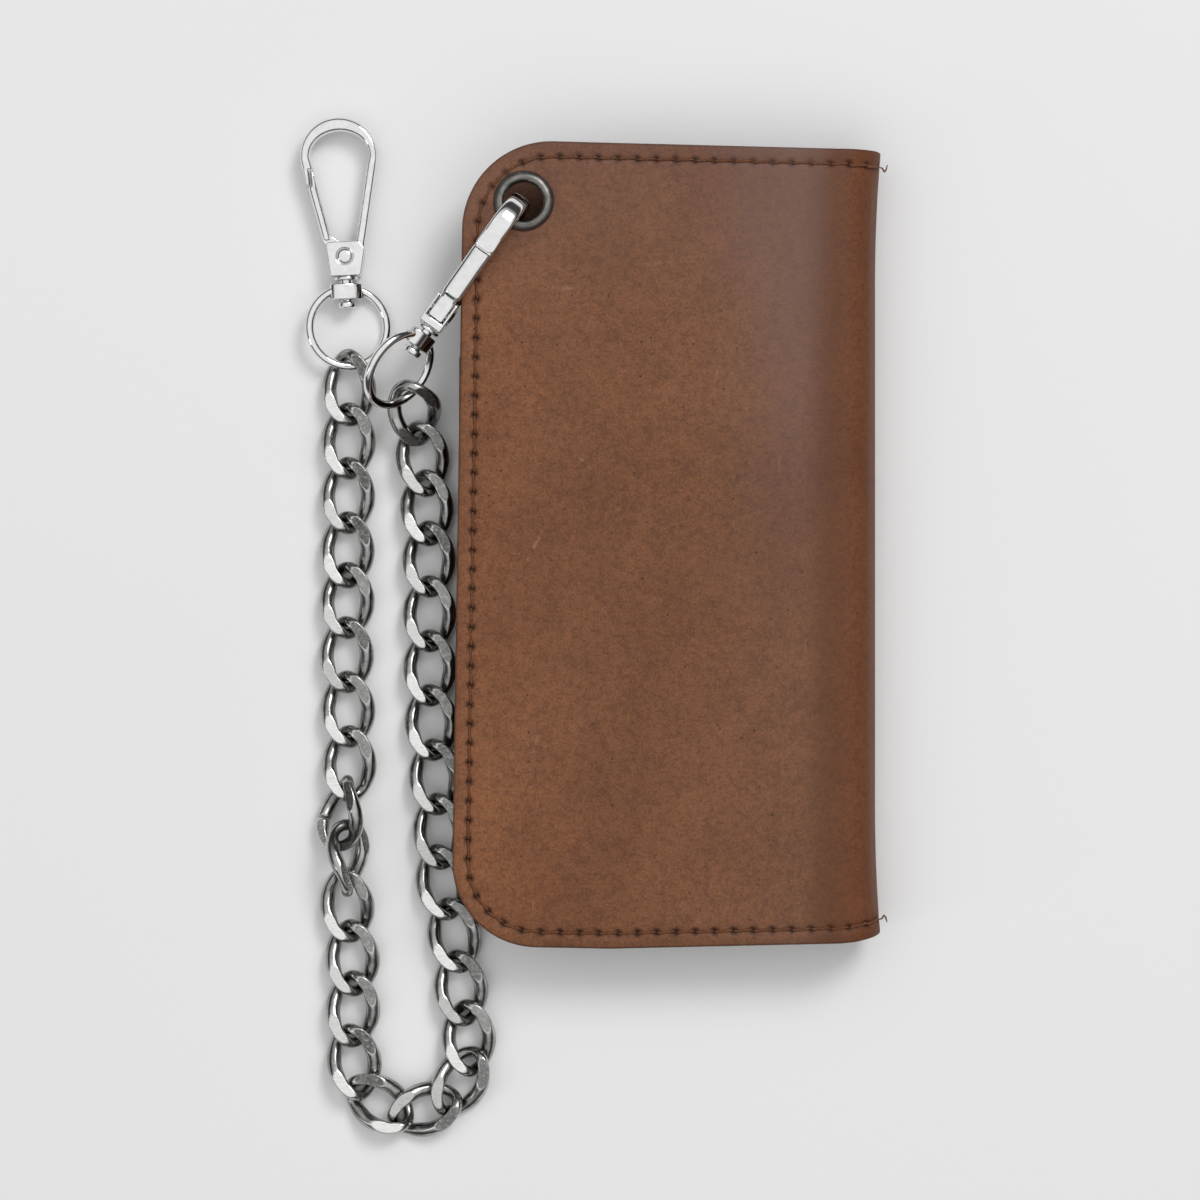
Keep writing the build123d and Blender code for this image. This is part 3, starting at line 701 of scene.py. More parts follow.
def ring_points(C, radii):
    out = []
    for c in C:
        out.append(tuple(c))
        for r, k in radii:
            for q in range(k):
                a = 2 * math.pi * (q + 0.5 * (k % 4 == 0)) / k
                out.append((c[0] + r * math.cos(a), c[1] + r * math.sin(a)))
    return np.array(out)


def band_points(L, insets, step=1.6):
    out = []
    n = normals_of(L)
    for k, i in enumerate(insets):
        Q = (L + n * i)[~split_f(L)]
        out.append(Q[(k % 2)::1])
    return np.vstack(out)


EYE = (-33.3, 80.84)
EYE_S = (s_of_front_x(EYE[0]), EYE[1])


def circle(c, r, n, cw=True):
    a = np.linspace(0, 2 * math.pi, n, endpoint=False)
    if cw:
        a = -a
    return np.c_[c[0] + r * np.cos(a), c[1] + r * np.sin(a)]


def hole_dist(P, ST):
    best = np.full(len(P), 99.0)
    for i in range(0, len(P), 2000):
        best[i:i + 2000] = np.sqrt(((P[i:i + 2000, None] - ST[None]) ** 2).sum(2)).min(1)
    return best


def relief_cover(ST, seed, eye=None):
    def f(P, d):
        hd = hole_dist(P, ST)
        h = np.zeros(len(P))
        for i, (x, y) in enumerate(P):
            h[i] = 0.22 * mnoise.noise(Vector((x * 0.022 + seed, y * 0.020, 0.3))) + 0.07 * mnoise.noise(Vector((x * 0.09, y * 0.085 + seed, 1.7)))
        h -= 0.30 * np.exp(-((d - MARGIN) / 0.80) ** 2)
        h -= 0.62 * np.exp(-(hd / 0.62) ** 2)
        h += 0.06 * np.exp(-((d - 1.9) / 0.9) ** 2)
        h *= np.clip(d / 0.6, 0.25, 1)
        if eye is not None:
            q = np.sqrt(((P - np.array(eye)) ** 2).sum(1))
            h = np.where(q < 7.8, np.minimum(h, -0.05) * np.clip((q - 5) / 3, 0, 1) - 0.10 * np.clip((8.2 - q) / 2, 0, 1), h)
        m = np.abs(P[:, 0] - S_MID)
        h *= np.clip(m / 4.0, 0, 1)
        return h
    return f


def cover_attrs(d, P2, top, ST, front):
    hd = hole_dist(P2, ST)
    # painted shade along the cut edge: the rounded side walls darkened, and a soft band just inside the edge
    edge = np.clip(1 - d / 0.75, 0, 1) ** 1.5
    edge = np.maximum(edge, np.where(top < 0.75, np.where(top > 0.25, 0.9, 0), 0) * np.clip(1 - d / 0.9, 0, 1))
    edge = np.maximum(edge, 0.22 * np.exp(-((d - 0.9) / 1.3) ** 2))
    # painted shade: dark blots in the stitch holes and a faint dark band along the sunken stitch groove
    hole = np.where(top > 0.75, np.exp(-(hd / 1.05) ** 3.4), 0)
    hole = np.maximum(hole, np.where(top > 0.75, 0.16 * np.exp(-((d - MARGIN) / 0.62) ** 2), 0))
    fold_shade = np.zeros(len(d))
    painted_sheen, pale, warm = np.zeros(len(d)), np.zeros(len(d)), np.zeros(len(d))
    for i, (s, y) in enumerate(P2):
        if s > S_MID and front:
            x = XS - (s - S3)
            n = mnoise.noise(Vector((x * 0.03, y * 0.025, 4.0)))
            # painted shade on the front cover, growing towards the fold
            w = 1 / (1 + math.exp(-(x - 34.3 - 1.2 * n) / 0.9)) * 0.60          # darker towards the fold
            w = w * (1 - 0.35 * math.exp(-((x - 45) / 3.0) ** 2))
            fold_shade[i] = w
            # painted reflection: a grey-violet sheen band near the fold, stronger towards the top, and one along the
            # top edge
            q = x - 31 - 3 * n
            side = math.exp(-(q / (15 if q < 0 else 6.5)) ** 2) * (0.22 + 0.98 / (1 + math.exp(-(y - 22) / 16)))
            upper = (0.42 + 0.2 * n) / (1 + math.exp(-(y - 66) / 7)) * (1 - 1 / (1 + math.exp(-(x - 38) / 2)))
            painted_sheen[i] = max(side, min(1.0, side + upper))
            # painted highlight along the left edge and at the lower left
            low = 1 / (1 + math.exp((y + 64) / 6))
            pale[i] = math.exp(-max(0, x + 47) / (15 + 4 * n)) * (1 - 0.55 / (1 + math.exp(-(y - 66) / 6)))
            pale[i] = min(1.0, pale[i] + 0.45 * low * math.exp(-max(0, x + 40) / 22))
            # redder tint of the painted shade towards the fold
            warm[i] = 1 / (1 + math.exp(-(x - 37.5) / 1.6))
        elif s > XS:
            # painted shade over the back cover's fold and spine
            fold_shade[i] = 0.36
    return {"edge": np.clip(edge, 0, 1), "hole": np.clip(hole, 0, 1), "fold_shade": fold_shade, "painted_sheen": painted_sheen, "pale": pale, "warm": warm}


def build_cover(name, L, ST, front, extra_loops, replaced, seed):
    extra = np.vstack([ring_points(ST, ((0.42, 6), (0.85, 8), (1.3, 10))), band_points(L, (1.3, 2.1, 2.8, 4.6, 5.5))])
    # thin out extra points that fall too near one another
    key = {}
    for p in extra:
        key.setdefault((round(p[0] / 0.42), round(p[1] / 0.42)), p)
    extra = np.array(list(key.values()))
    loops = [L] + extra_loops
    v, f, d, P2, top, sh = sheet_shape(loops, T, 0.62, 2.6, relief_cover(ST, seed, EYE_S if front else None), cover_map, split_f, extra, skip_d=6.0)
    at = cover_attrs(d, P2, top, ST, front)
    ob = make(name, v, f, M_COVER, attrs=at, sharp=lambda a, b: frozenset((a, b)) in sh)
    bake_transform(ob)
    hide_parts(*replaced)
    return ob


build_cover("leather_front", FRONT_L, ST_F, True, [circle(EYE_S, 5.25, 48)], ("outer_front_cover",), 0.0)
build_cover("leather_back", BACK_L, ST_B, False, [], ("outer_back_cover", "outer_spine"), 5.0)


# ------------------------------------------------------------------ stitches
def tube(points, radii, n=8, cap=True):
    """Verts and faces of a closed tube along the points."""
    P = np.array(points, float)
    m = len(P)
    t = np.gradient(P, axis=0)
    t /= np.linalg.norm(t, axis=1)[:, None] + 1e-12
    ref = np.array([0, 0, 1.0]) if abs(t[0][2]) < 0.9 else np.array([1.0, 0, 0])
    u = np.cross(t[0], ref); u /= np.linalg.norm(u)
    V = []
    for i in range(m):
        u = u - t[i] * (u @ t[i]); u /= np.linalg.norm(u)
        w = np.cross(t[i], u)
        for k in range(n):
            a = 2 * math.pi * k / n
            V.append(P[i] + radii[i] * (math.cos(a) * u + math.sin(a) * w))
    F = [(i * n + k, i * n + (k + 1) % n, (i + 1) * n + (k + 1) % n, (i + 1) * n + k) for i in range(m - 1) for k in range(n)]
    if cap:
        F.append(tuple(range(n))[::-1])
        F.append(tuple((m - 1) * n + k for k in range(n)))
    return V, F


def stitches(name, ST, outward_sign, replaced, doubles, front):
    V, F = [], []
    N = len(ST)

    def add(pts, r):
        rr = [r * (0.55 if i in (0, len(pts) - 1) else 1.0) for i in range(len(pts))]
        v, f = tube(pts, rr, 8)
        o = len(V)
        V.extend(v)
        F.extend([tuple(k + o for k in q) for q in f])

    def one(a, b, lift, side):
        a, b = np.array(a), np.array(b)
        d = b - a
        L = np.linalg.norm(d)
        d /= L
        p = np.array([-d[1], d[0]])
        ctrl = []
        for q, h in ((0.045, -0.75), (0.075, -0.30), (0.15, 0.02), (0.28, 0.16), (0.5, 0.20), (0.72, 0.16), (0.85, 0.02), (0.925, -0.30), (0.955, -0.75)):
            off = side + 0.20 * (0.5 - q) * 2 * 0.8
            x, y = a + d * (L * q) + p * off
            ctrl.append(cover_map(x, y, h * 0.8 + lift - 0.17))
        add(ctrl, 0.30)

    for i in range(N - 1):
        one(ST[i], ST[i + 1], -0.02 + 0.03 * rng.standard_normal(), 0.04 * rng.standard_normal())
    for i0, i1 in doubles:
        for i in range(i0, i1):
            one(ST[i] + rng.normal(0, 0.12, 2), ST[i + 1] + rng.normal(0, 0.12, 2), 0.30, 0.26)
    # loose thread ends where the seam stops at the fold
    if front:
        for k, sy in ((0, 1), (N - 1, -1)):
            c = ST[k]
            q = []
            for j, (ds, dy, h) in enumerate(((0, 0, 0.1), (-1.0, 0.2 * sy, 0.8), (-2.2, 0.9 * sy, 1.2), (-3.2, 0.3 * sy, 1.6), (-4.0, -0.9 * sy, 1.9))):
                q.append(cover_map(c[0] + ds, c[1] + dy, h))
            add(q, 0.20)
    ob = make(name, V, F, M_THREAD)
    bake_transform(ob)
    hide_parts(*replaced)
    return ob


nF, nB = len(ST_F), len(ST_B)
stitches("stitching_front", ST_F, 1, ("front_thread",), ((0, 2), (nF - 3, nF - 1)), True)
stitches("stitching_back", ST_B, 1, ("back_thread",), (), False)


# ------------------------------------------------------------------ inner panels
def panel(name, L, z0, z1, body, mat, replaced, holes=(), er=0.35, spacing=6.0, grooves=((2.2, 0.12, 0.5),), seed=0.0, up=True, wav=0.08, stitch=None):
    th = z1 - z0
    if area2(L) < 0:
        L = L[::-1]

    def rel(P, d):
        h = np.zeros(len(P))
        for g, dep, w in grooves:
            h -= dep * np.exp(-((d - g) / w) ** 2)
        for i, (x, y) in enumerate(P):
            h[i] -= wav * (0.5 + 0.5 * mnoise.noise(Vector((x * 0.05 + seed, y * 0.05, seed))))
        return h * np.clip(d / 1.0, 0.0, 1)

    def fm(x, y, h):
        return (x, y, z1 + h) if up else (x, y, z0 - h)

    ext = [L + normals_of(L) * g for g, _, w in grooves for g in (g - w, g, g + w)]
    extra = np.vstack(ext) if ext else None
    if extra is not None:
        key = {}
        for p in extra:
            key.setdefault((round(p[0] / 0.45), round(p[1] / 0.45)), p)
        extra = np.array(list(key.values()))
    v, f, d, P2, top, sh = sheet_shape([L] + list(holes), th, min(er, th * 0.45), spacing, rel, fm, None, extra, prof=3)
    # painted shade along the panel's cut edge
    edge = np.clip(1 - d / 0.6, 0, 1)
    # painted shade in the panel's stitch groove 2.2 mm in; no painted fold shade or sheen on the panels
    at = {"edge": edge * 0.8, "hole": np.where(top > 0.75, 0.35 * np.exp(-((d - 2.2) / 0.35) ** 2), 0), "fold_shade": np.zeros(len(d)), "painted_sheen": np.zeros(len(d))}
    ob = make(name, v, f, mat, body, replaced, attrs=at)
    return ob


def back_poly(inset, right):
    pts = [(-46.9 + inset, 93.8 - inset), (-46.9 + inset, -92.5 + inset), (right, -92.8 + inset), (right, 93.2 - inset)]
    return rounded_poly(pts, [20 - inset, 18 - inset, 1.5, 1.5], 1.6)


def front_poly(inset, right):
    pts = [(-47.5 + inset, 95.5 - inset), (-50.4 + inset, -94.3 + inset), (-13.0, -95.0 + inset), (right, -94.0 + inset), (right, 93.35 - inset)]
    return rounded_poly(pts, [21 - inset, 20 - inset, 0, 1.5, 1.5], 1.6)


panel("lining_back", back_poly(0.5, 37.0), 2.02, 3.0, "back_half", M_LINING, ("back_lining",), seed=1.0)
slot_tops = (52.0, 26.0, 0.0)
for i, tp in enumerate(slot_tops):
    ins = 0.8 + 0.3 * i
    right = 36.5 - 0.3 * i
    left = -46.9 + ins
    # an opening edge with a thumb dip in the middle
    dip = [(-4 + 12 * math.cos(a), tp + 6 + 12 * math.sin(a)) for a in np.linspace(math.radians(-30.5), math.radians(-149.5), 15)]
    pts = [(left, -92.5 + ins), (right, -92.8 + ins), (right, tp)] + dip + [(left, tp)]
    rad = [18 - ins, 1.2, 1.5] + [0] * len(dip) + [1.0]
    z0 = 3.0 + 0.9 * i
    L = rounded_poly(pts, rad, 1.6)
    panel("card_pocket_%d" % (i + 1), L, z0 + 0.02, z0 + 0.9, "back_half", M_LINING, ("card_slot_%d" % (i + 1),), seed=2.0 + i, wav=0.06)

hole_f = circle(EYE, 5.28, 40)
panel("lining_front", front_poly(0.5, 37.0), 16.4, 17.38, "front_half", M_LINING, ("front_lining",), holes=(hole_f,), seed=6.0, up=False)
COIN_Z0, COIN_Z1 = 14.9, 15.9
ZX, ZY0, ZY1 = 20.0, -76.0, 36.0
fp = front_poly(1.2, 36.2)
left_c = -50.2 + 1.2
coin_pts = [(-48.6, 46.0), (-50.4 + 1.3, -94.3 + 1.2), (-13.0, -95.0 + 1.2), (36.2, -94.0 + 1.2), (36.2, 46.0)]
coin_L = rounded_poly(coin_pts, [2.0, 18.8, 0, 1.5, 1.5], 1.6)
win = rounded_poly([(ZX - 3.5, ZY0), (ZX + 3.5, ZY0), (ZX + 3.5, ZY1), (ZX - 3.5, ZY1)], [1.2] * 4, 1.6)
if area2(win) > 0:
    win = win[::-1]
panel("coin_pocket", coin_L, COIN_Z0, COIN_Z1, "front_half", M_LINING, ("coin_panel",), holes=(win,), seed=8.0, up=False, spacing=5.0)

# ------------------------------------------------------------------ zip
tape_L = rounded_poly([(ZX - 7.5, -81.0), (ZX + 7.5, -81.0), (ZX + 7.5, 41.0), (ZX - 7.5, 41.0)], [1.0] * 4, 1.6)
panel("zip_cloth", tape_L, 15.92, 16.28, "front_half", M_TAPE, ("zip_tape",), seed=9.0, up=False, spacing=4.0, grooves=((2.0, 0.05, 0.4),), wav=0.03)


def rbox(cx, cy, cz, sx, sy, sz, bev, seg=2):
    """A rounded block as verts and faces."""
    bm = bmesh.new()
    bmesh.ops.create_cube(bm, size=1.0)
    for v in bm.verts:
        v.co = Vector((v.co.x * sx, v.co.y * sy, v.co.z * sz))
    bmesh.ops.bevel(bm, geom=list(bm.edges), offset=bev, segments=seg, profile=0.5, affect="EDGES", clamp_overlap=True)
    bm.verts.ensure_lookup_table()
    V = [np.array((v.co.x + cx, v.co.y + cy, v.co.z + cz)) for v in bm.verts]
    F = [tuple(v.index for v in f.verts) for f in bm.faces]
    bm.free()
    return V, F


def join(parts):
    V, F = [], []
    for v, f in parts:
        o = len(V)
        V.extend(v)
        F.extend([tuple(k + o for k in q) for q in f])
    return V, F


parts = []
nt_ = 88
for i in range(nt_):
    y = -74.4 + i * (108.4 / (nt_ - 1))
    sgn = 1 if i % 2 else -1
    parts.append(rbox(ZX + sgn * 0.72, y, 15.40, 2.3, 0.86, 0.96, 0.18, 2))
    parts.append(rbox(ZX - sgn * 0.25, y, 15.40, 0.9, 0.66, 0.60, 0.15, 2))
v, f = join(parts)
teeth = make("zip_teeth_row", v, f, M_BRASS, "front_half", ("zip_teeth",))


def cad(name, mat, bevel=None):
    ob = NODES[name]
    ob.data.materials.clear()
    ob.data.materials.append(mat)
    if bevel:
        m = ob.modifiers.new("soft_edges", "BEVEL")
        m.width = bevel * MM
        m.segments = 3
        m.limit_method = "ANGLE"
        m.angle_limit = math.radians(35)
    return ob


cad("zip_slider", M_BRASS, 0.16)
cad("zip_pull", M_BRASS, 0.16)


# ------------------------------------------------------------------ eyelet
def revolve(profile, centre, n=72, wob=0.0, seed=0.0):
    """A closed ring from a closed profile of (r, z)."""
    V, F = [], []
    m = len(profile)
    for i in range(n):
        a = 2 * math.pi * i / n
        for (r, z) in profile:
            rr = r + wob * mnoise.noise(Vector((math.cos(a) * 2 + seed, math.sin(a) * 2, z * 0.6)))
            V.append((centre[0] + rr * math.cos(a), centre[1] + rr * math.sin(a), z))
    for i in range(n):
        j = (i + 1) % n
        for k in range(m):
            l = (k + 1) % m
            F.append((i * m + k, j * m + k, j * m + l, i * m + l))
    return V, F


def arc(cx, cz, r, a0, a1, k):
    return [(cx + r * math.cos(math.radians(a0 + (a1 - a0) * i / k)), cz + r * math.sin(math.radians(a0 + (a1 - a0) * i / k))) for i in range(k + 1)]


rz = H
prof = [(4.72, 15.45), (4.70, 17.0), (4.70, rz + 0.35)]
prof += arc(5.55, rz + 0.35, 0.84, 180, 90, 8)[1:]
prof += [(5.95, rz + 1.13), (6.35, rz + 0.96), (6.72, rz + 0.66), (6.98, rz + 0.36), (7.10, rz + 0.12), (7.06, rz - 0.05), (6.6, rz - 0.12), (5.4, rz - 0.12)]
prof += [(5.22, rz - 0.4), (5.2, 17.0), (5.2, 15.45), (4.95, 15.38)]
v, f = revolve(prof, EYE, 96, 0.05, 1.0)
eye = make("eyelet_top", v, f, M_EYE, "front_half", ("eyelet_barrel",))
prof = [(5.34, 15.72), (5.34, 16.3), (5.5, 16.38), (6.8, 16.38), (6.98, 16.3), (7.02, 16.0)] + arc(6.3, 16.0, 0.38, -20, -90, 4) + [(5.7, 15.62)]
v, f = revolve(prof, EYE, 72, 0.03, 2.0)
was = make("eyelet_back", v, f, M_EYE, "front_half", ("eyelet_washer",))


# ------------------------------------------------------------------ chain links
LA, LB, LTW, LR, LZ = 5.1, 8.0, math.radians(40.0), 1.35, 2.42


def wire_pt(t):
    w = LTW * np.sin(t)
    return np.stack([LA * np.cos(t) * np.cos(w), LB * np.sin(t), LA * np.cos(t) * np.sin(w)], -1)


def link_mesh(gap=None, seed=0):
    NA, NC = 140, 36
    if gap is None:
        t = np.linspace(0, 2 * math.pi, NA, endpoint=False)
        rr = np.ones(NA)
    else:
        t = np.linspace(gap[0] + gap[1], gap[0] - gap[1] + 2 * math.pi, NA)
        rr = np.ones(NA)
        s = 0.0
    P = wire_pt(t)
    D = wire_pt(t + 1e-4) - wire_pt(t - 1e-4)
    D /= np.linalg.norm(D, axis=1)[:, None]
    n1 = np.cross(D, np.array([0, 0, 1.0])); n1 /= np.linalg.norm(n1, axis=1)[:, None]
    n2 = np.cross(n1, D)
    V, fl, rc, dl = [], [], [], []
    half = max(abs(q[0]) for q in P)
    rs = np.random.default_rng(100 + seed)
    off = rs.uniform(-20, 20, 3)
    # per-link amounts of the painted shade on the two top flats
    tone = (rs.uniform(0.72, 1.0), rs.choice([0.0, 0.0, 0.2, 0.4]))
    turn = -1 if seed < 15 else 1
    for i in range(NA):
        e = 0.0
        if gap is not None:
            e = max(0.0, 1 - min(i, NA - 1 - i) / 1.0)
        for k in range(NC):
            a = 2 * math.pi * k / NC
            w_ = min(1.0, max(0.0, (abs(P[i][0]) / half - 0.60) / 0.37))
            w_ = w_ * w_ * (3 - 2 * w_)
            r = LR * (1 - 0.10 * e) * (1 + 0.27 * w_)
            p = P[i] - 0.22 * LR * w_ * np.array([math.copysign(1, P[i][0]), 0, 0]) + r * (math.cos(a) * n1[i] + math.sin(a) * n2[i])
            q = 0.035 * mnoise.noise(Vector(p * 0.55 + off)) + 0.012 * mnoise.noise(Vector(p * 2.2 + off))
            p = p + q * (math.cos(a) * n1[i] + math.sin(a) * n2[i])
            z = abs(p[2])
            lim = LZ + 0.02 * mnoise.noise(Vector(p * 0.8 + off))
            kk = 0.10
            h = max(kk - abs(z - lim), 0) / kk
            zz = min(z, lim) - h * h * kk / 4
            f_ = min(1.0, max(0.0, (z - lim + 0.01) / 0.06))
            fl.append(f_ * f_ * (3 - 2 * f_))
            # painted shade: the wire's sides about its mid-plane and its inner face are marked for darkening
            inner = max(0.0, -(math.cos(a) * n1[i] @ (P[i] / (np.linalg.norm(P[i]) + 1e-9))))
            low = min(1.0, max(0.0, (2.1 - zz) / 2.4))
            rc.append(min(1.0, 0.65 * low + 0.5 * inner * low))
            V.append(np.array([p[0], p[1], math.copysign(zz, p[2])]))
            # painted shade on the right-hand top flat; turn keeps it on the same side for the returning run of the
            # chain
            dl.append((tone[0] if p[0] * p[2] * turn > 0 else tone[1]) * fl[-1] ** 4)
    F = []
    rng_i = range(NA) if gap is None else range(NA - 1)
    for i in rng_i:
        j = (i + 1) % NA
        for k in range(NC):
            l = (k + 1) % NC
            F.append((i * NC + k, j * NC + k, j * NC + l, i * NC + l))
    if gap is not None:
        F.append(tuple(range(NC)))
        F.append(tuple((NA - 1) * NC + k for k in range(NC))[::-1])
    return np.array(V), F, fl, rc, dl


OPEN_LINK = 21
for i, (c, xd, zd) in enumerate(LINK_POSES):
    gap = (math.pi + math.asin(0.3), 0.040) if i == OPEN_LINK else None
    V, F, fl, rc, dl = link_mesh(gap, i)
    xd, zd, c = np.array(xd), np.array(zd), np.array(c)
    zd = zd / np.linalg.norm(zd)
    xd = xd - zd * (xd @ zd); xd /= np.linalg.norm(xd)
    yd = np.cross(zd, xd)
    W = c + V @ np.array([xd, yd, zd])
    ob = make("chain_link_%02d" % (i + 1), W, F, M_CHAIN, "link_%02d" % (i + 1), ("link_%02d" % (i + 1),), attrs={"flat": fl, "side_shade": rc, "flat_shade": dl})

# ------------------------------------------------------------------ hooks and rings
def lathe(profile, n=48):
    """A solid of revolution from (r, h) points; the first and last points lie on the axis."""
    V = [(0.0, 0.0, profile[0][1])]
    F = []
    mid = profile[1:-1]
    m = len(mid)
    for i in range(n):
        a = 2 * math.pi * i / n
        for r, h in mid:
            V.append((r * math.cos(a), r * math.sin(a), h))
    V.append((0.0, 0.0, profile[-1][1]))
    last = len(V) - 1
    for i in range(n):
        j = (i + 1) % n
        F.append((0, 1 + j * m, 1 + i * m))
        for k in range(m - 1):
            F.append((1 + i * m + k, 1 + j * m + k, 1 + j * m + k + 1, 1 + i * m + k + 1))
        F.append((last, 1 + i * m + m - 1, 1 + j * m + m - 1))
    return np.array(V), F


def bar(stations, n=32, power=3.0, tip=0.0):
    """A bar whose section at each station spans the two given points, with its half thickness in w."""
    V, F = [], []
    m = len(stations)
    for q, (O, I, t) in enumerate(stations):
        O, I = np.array(O, float), np.array(I, float)
        M, h = (O + I) / 2, (O - I) / 2
        for k in range(n):
            a = 2 * math.pi * k / n
            c, s_ = math.cos(a), math.sin(a)
            x = math.copysign(abs(c) ** (2 / power), c)
            y = math.copysign(abs(s_) ** (2 / power), s_)
            p = M + h * x
            V.append((p[0], p[1], t * y))
    for i in range(m - 1):
        for k in range(n):
            l = (k + 1) % n
            F.append((i * n + k, (i + 1) * n + k, (i + 1) * n + l, i * n + l))
    F.append(tuple(range(n)))
    F.append(tuple((m - 1) * n + k for k in range(n))[::-1])
    return np.array(V), F


def plate(outline, radii, w0, w1, er, holes=(), step=0.5):
    """A flat plate in (u, v) from w0 to w1, with rounded edges and round holes."""
    L = rounded_poly(outline, radii, step)
    if area2(L) < 0:
        L = L[::-1]
    v, f, d, P2, top, sh = sheet_shape([L] + [circle(c, r, 32) for c, r in holes], w1 - w0, er, 1.6, lambda P, d: np.zeros(len(P)), lambda x, y, h: (x, y, w1 + h), None, None, prof=4)
    return np.array(v), f


def lerp(a, b, t):
    return (a[0] + (b[0] - a[0]) * t, a[1] + (b[1] - a[1]) * t)


HC, HR = (-0.27, 28.8), 9.31
PIV = (0.1, 4.75)
OUT_R0, OUT_R1 = (3.7, 0.0), (8.88, 27.1)
IN_R0, IN_R1 = (2.88, 8.3), (6.9, 28.8)
OUT_L0, OUT_L1 = (-9.33, 26.66), (-5.37, 9.54)
IN_L0, IN_L1 = (-7.1, 28.8), (-3.15, 10.6)
STEP_U = -7.45


def x_on(a, b, v):
    return a[0] + (b[0] - a[0]) * (v - a[1]) / (b[1] - a[1])


def frame_bar():
    st = []
    for v in np.linspace(5.2, 26.4, 16):
        t = 2.50 if v > 10 else 2.50 + 0.30 * (10 - v) / 4.8
        o = (x_on(OUT_R0, OUT_R1, v), v)
        i_ = (x_on(IN_R0, IN_R1, max(v, 8.3)), v + 0.25)
        if v < 8.3:
            i_ = (2.75, v + 0.25)
        st.append((o, i_, t))
    for a in np.linspace(math.radians(-6), math.radians(184), 44):
        o = (HC[0] + HR * math.cos(a), HC[1] + HR * math.sin(a))
        i_ = (-0.1 + 7.02 * math.cos(a), 28.8 + 5.8 * math.sin(a))
        st.append((o, i_, 2.50))
    for v in (27.4, 26.9, 26.4, 26.05):
        st.append(((x_on(OUT_L0, OUT_L1, v) if v < 26.66 else HC[0] - math.sqrt(HR ** 2 - (v - HC[1]) ** 2), v), (x_on(IN_L0, IN_L1, v), v), 2.50))
    for v, g in ((25.98, 0.45), (25.92, 0.95), (25.6, 1.0), (24.8, 1.0), (23.8, 1.0), (22.8, 1.0), (22.2, 0.9), (21.95, 0.6)):
        inner = x_on(IN_L0, IN_L1, v)
        u = inner + (STEP_U - 0.03 - inner) * min(g if v > 25.7 else 1.0, 1.0)
        st.append(((x_on(OUT_L0, OUT_L1, v), v), (u, v), 2.45 * (1.0 if v > 22.5 else g)))
    return bar(st, 56, 3.3)


def base_parts():
    pts = [(-4.4, 8.2), (-3.5, 0.0), (3.7, 0.0), (4.95, 6.5), (3.6, 8.3), (-2.9, 8.3)]
    rad = [0.9, 0.7, 0.7, 0.9, 0.8, 0.5]
    out = [plate(pts, rad, 2.2, 2.95, 0.34, holes=((PIV, 2.02),)), plate(pts, rad, -2.95, -2.2, 0.34, holes=((PIV, 2.02),))]
    out.append(plate([(-3.45, 0.06), (3.65, 0.06), (4.05, 2.15), (-3.7, 2.15)], [0.7, 0.7, 0.25, 0.25], -2.75, 2.75, 0.35))
    out.append(plate([(2.72, 1.4), (3.9, 1.4), (4.86, 6.5), (3.7, 8.2), (2.72, 8.2)], [0.2, 0.2, 0.8, 0.6, 0.2], -2.75, 2.75, 0.3))
    return out


def gate_parts():
    st = []
    for o, i_, t_ in (((-3.80, 2.55), (-3.15, 2.55), 1.80), ((-3.84, 2.75), (-3.12, 2.75), 1.92), ((-4.08, 5.0), (-3.2, 5.0), 1.95), ((-4.38, 7.2), (-3.2, 7.2), 1.95), ((-4.62, 8.2), (-3.1, 8.2), 1.97), ((-4.90, 8.62), (-3.0, 8.62), 2.04)):
        st.append((o, i_, t_))
    for v in (8.95, 9.5, 10.6, 13, 16, 19, 21.3, 22.3):
        o = (x_on(OUT_L0, OUT_L1, v) if v > 9.54 else x_on((-5.37, 9.54), (-5.15, 8.75), v), v)
        i_ = (x_on((-3.15, 10.6), (-6.6, 26.5), v) if v > 10.6 else x_on((-3.15, 10.6), (-2.75, 8.75), v), v)
        r = math.hypot((o[0] - PIV[0]), (o[1] - PIV[1]))
        if v > 22:
            break
        st.append((o, i_, 2.42))
    for v, g in ((21.62, 0.35), (21.72, 0.95), (22.6, 1.0), (23.8, 1.0), (24.9, 1.0), (25.45, 0.9), (25.62, 0.55)):
        i_ = (x_on((-3.15, 10.6), (-6.6, 26.5), v), v)
        full = x_on(OUT_L0, OUT_L1, v)
        u = full + (STEP_U + 0.17 - full) * min(1.0, g if v < 22 else 1.0)
        st.append(((u, v), i_, 2.42 * (g if v > 25 else 1.0)))
    out = [bar(st, 36, 2.5)]
    lob = [(PIV[0] + 2.28 * math.cos(a), PIV[1] + 2.28 * math.sin(a)) for a in np.linspace(math.radians(38), math.radians(-142), 16)]
    lob = lob + [(-5.12, 8.9), (-4.6, 9.8), (-3.1, 9.9)]
    for w0, w1 in ((1.22, 2.04), (-2.04, -1.22)):
        out.append(plate(lob, [0] * len(lob), w0, w1, 0.18, holes=((PIV, 1.22),), step=0.6))
    return out


def rivet_parts():
    h = 2.95
    prof = [(0, -h - 0.34)] + [(0.5, -h - 0.33), (0.95, -h - 0.29), (1.3, -h - 0.19), (1.58, -h - 0.04), (1.76, -h + 0.12), (1.84, -h + 0.26), (1.86, -h + 0.40), (1.15, -h + 0.44)]
    prof = prof + [(r, -z) for r, z in prof[:0:-1]] + [(0, h + 0.34)]
    V, F = lathe(prof, 40)
    V[:, 0] += PIV[0]
    V[:, 1] += PIV[1]
    return [(V, F)]


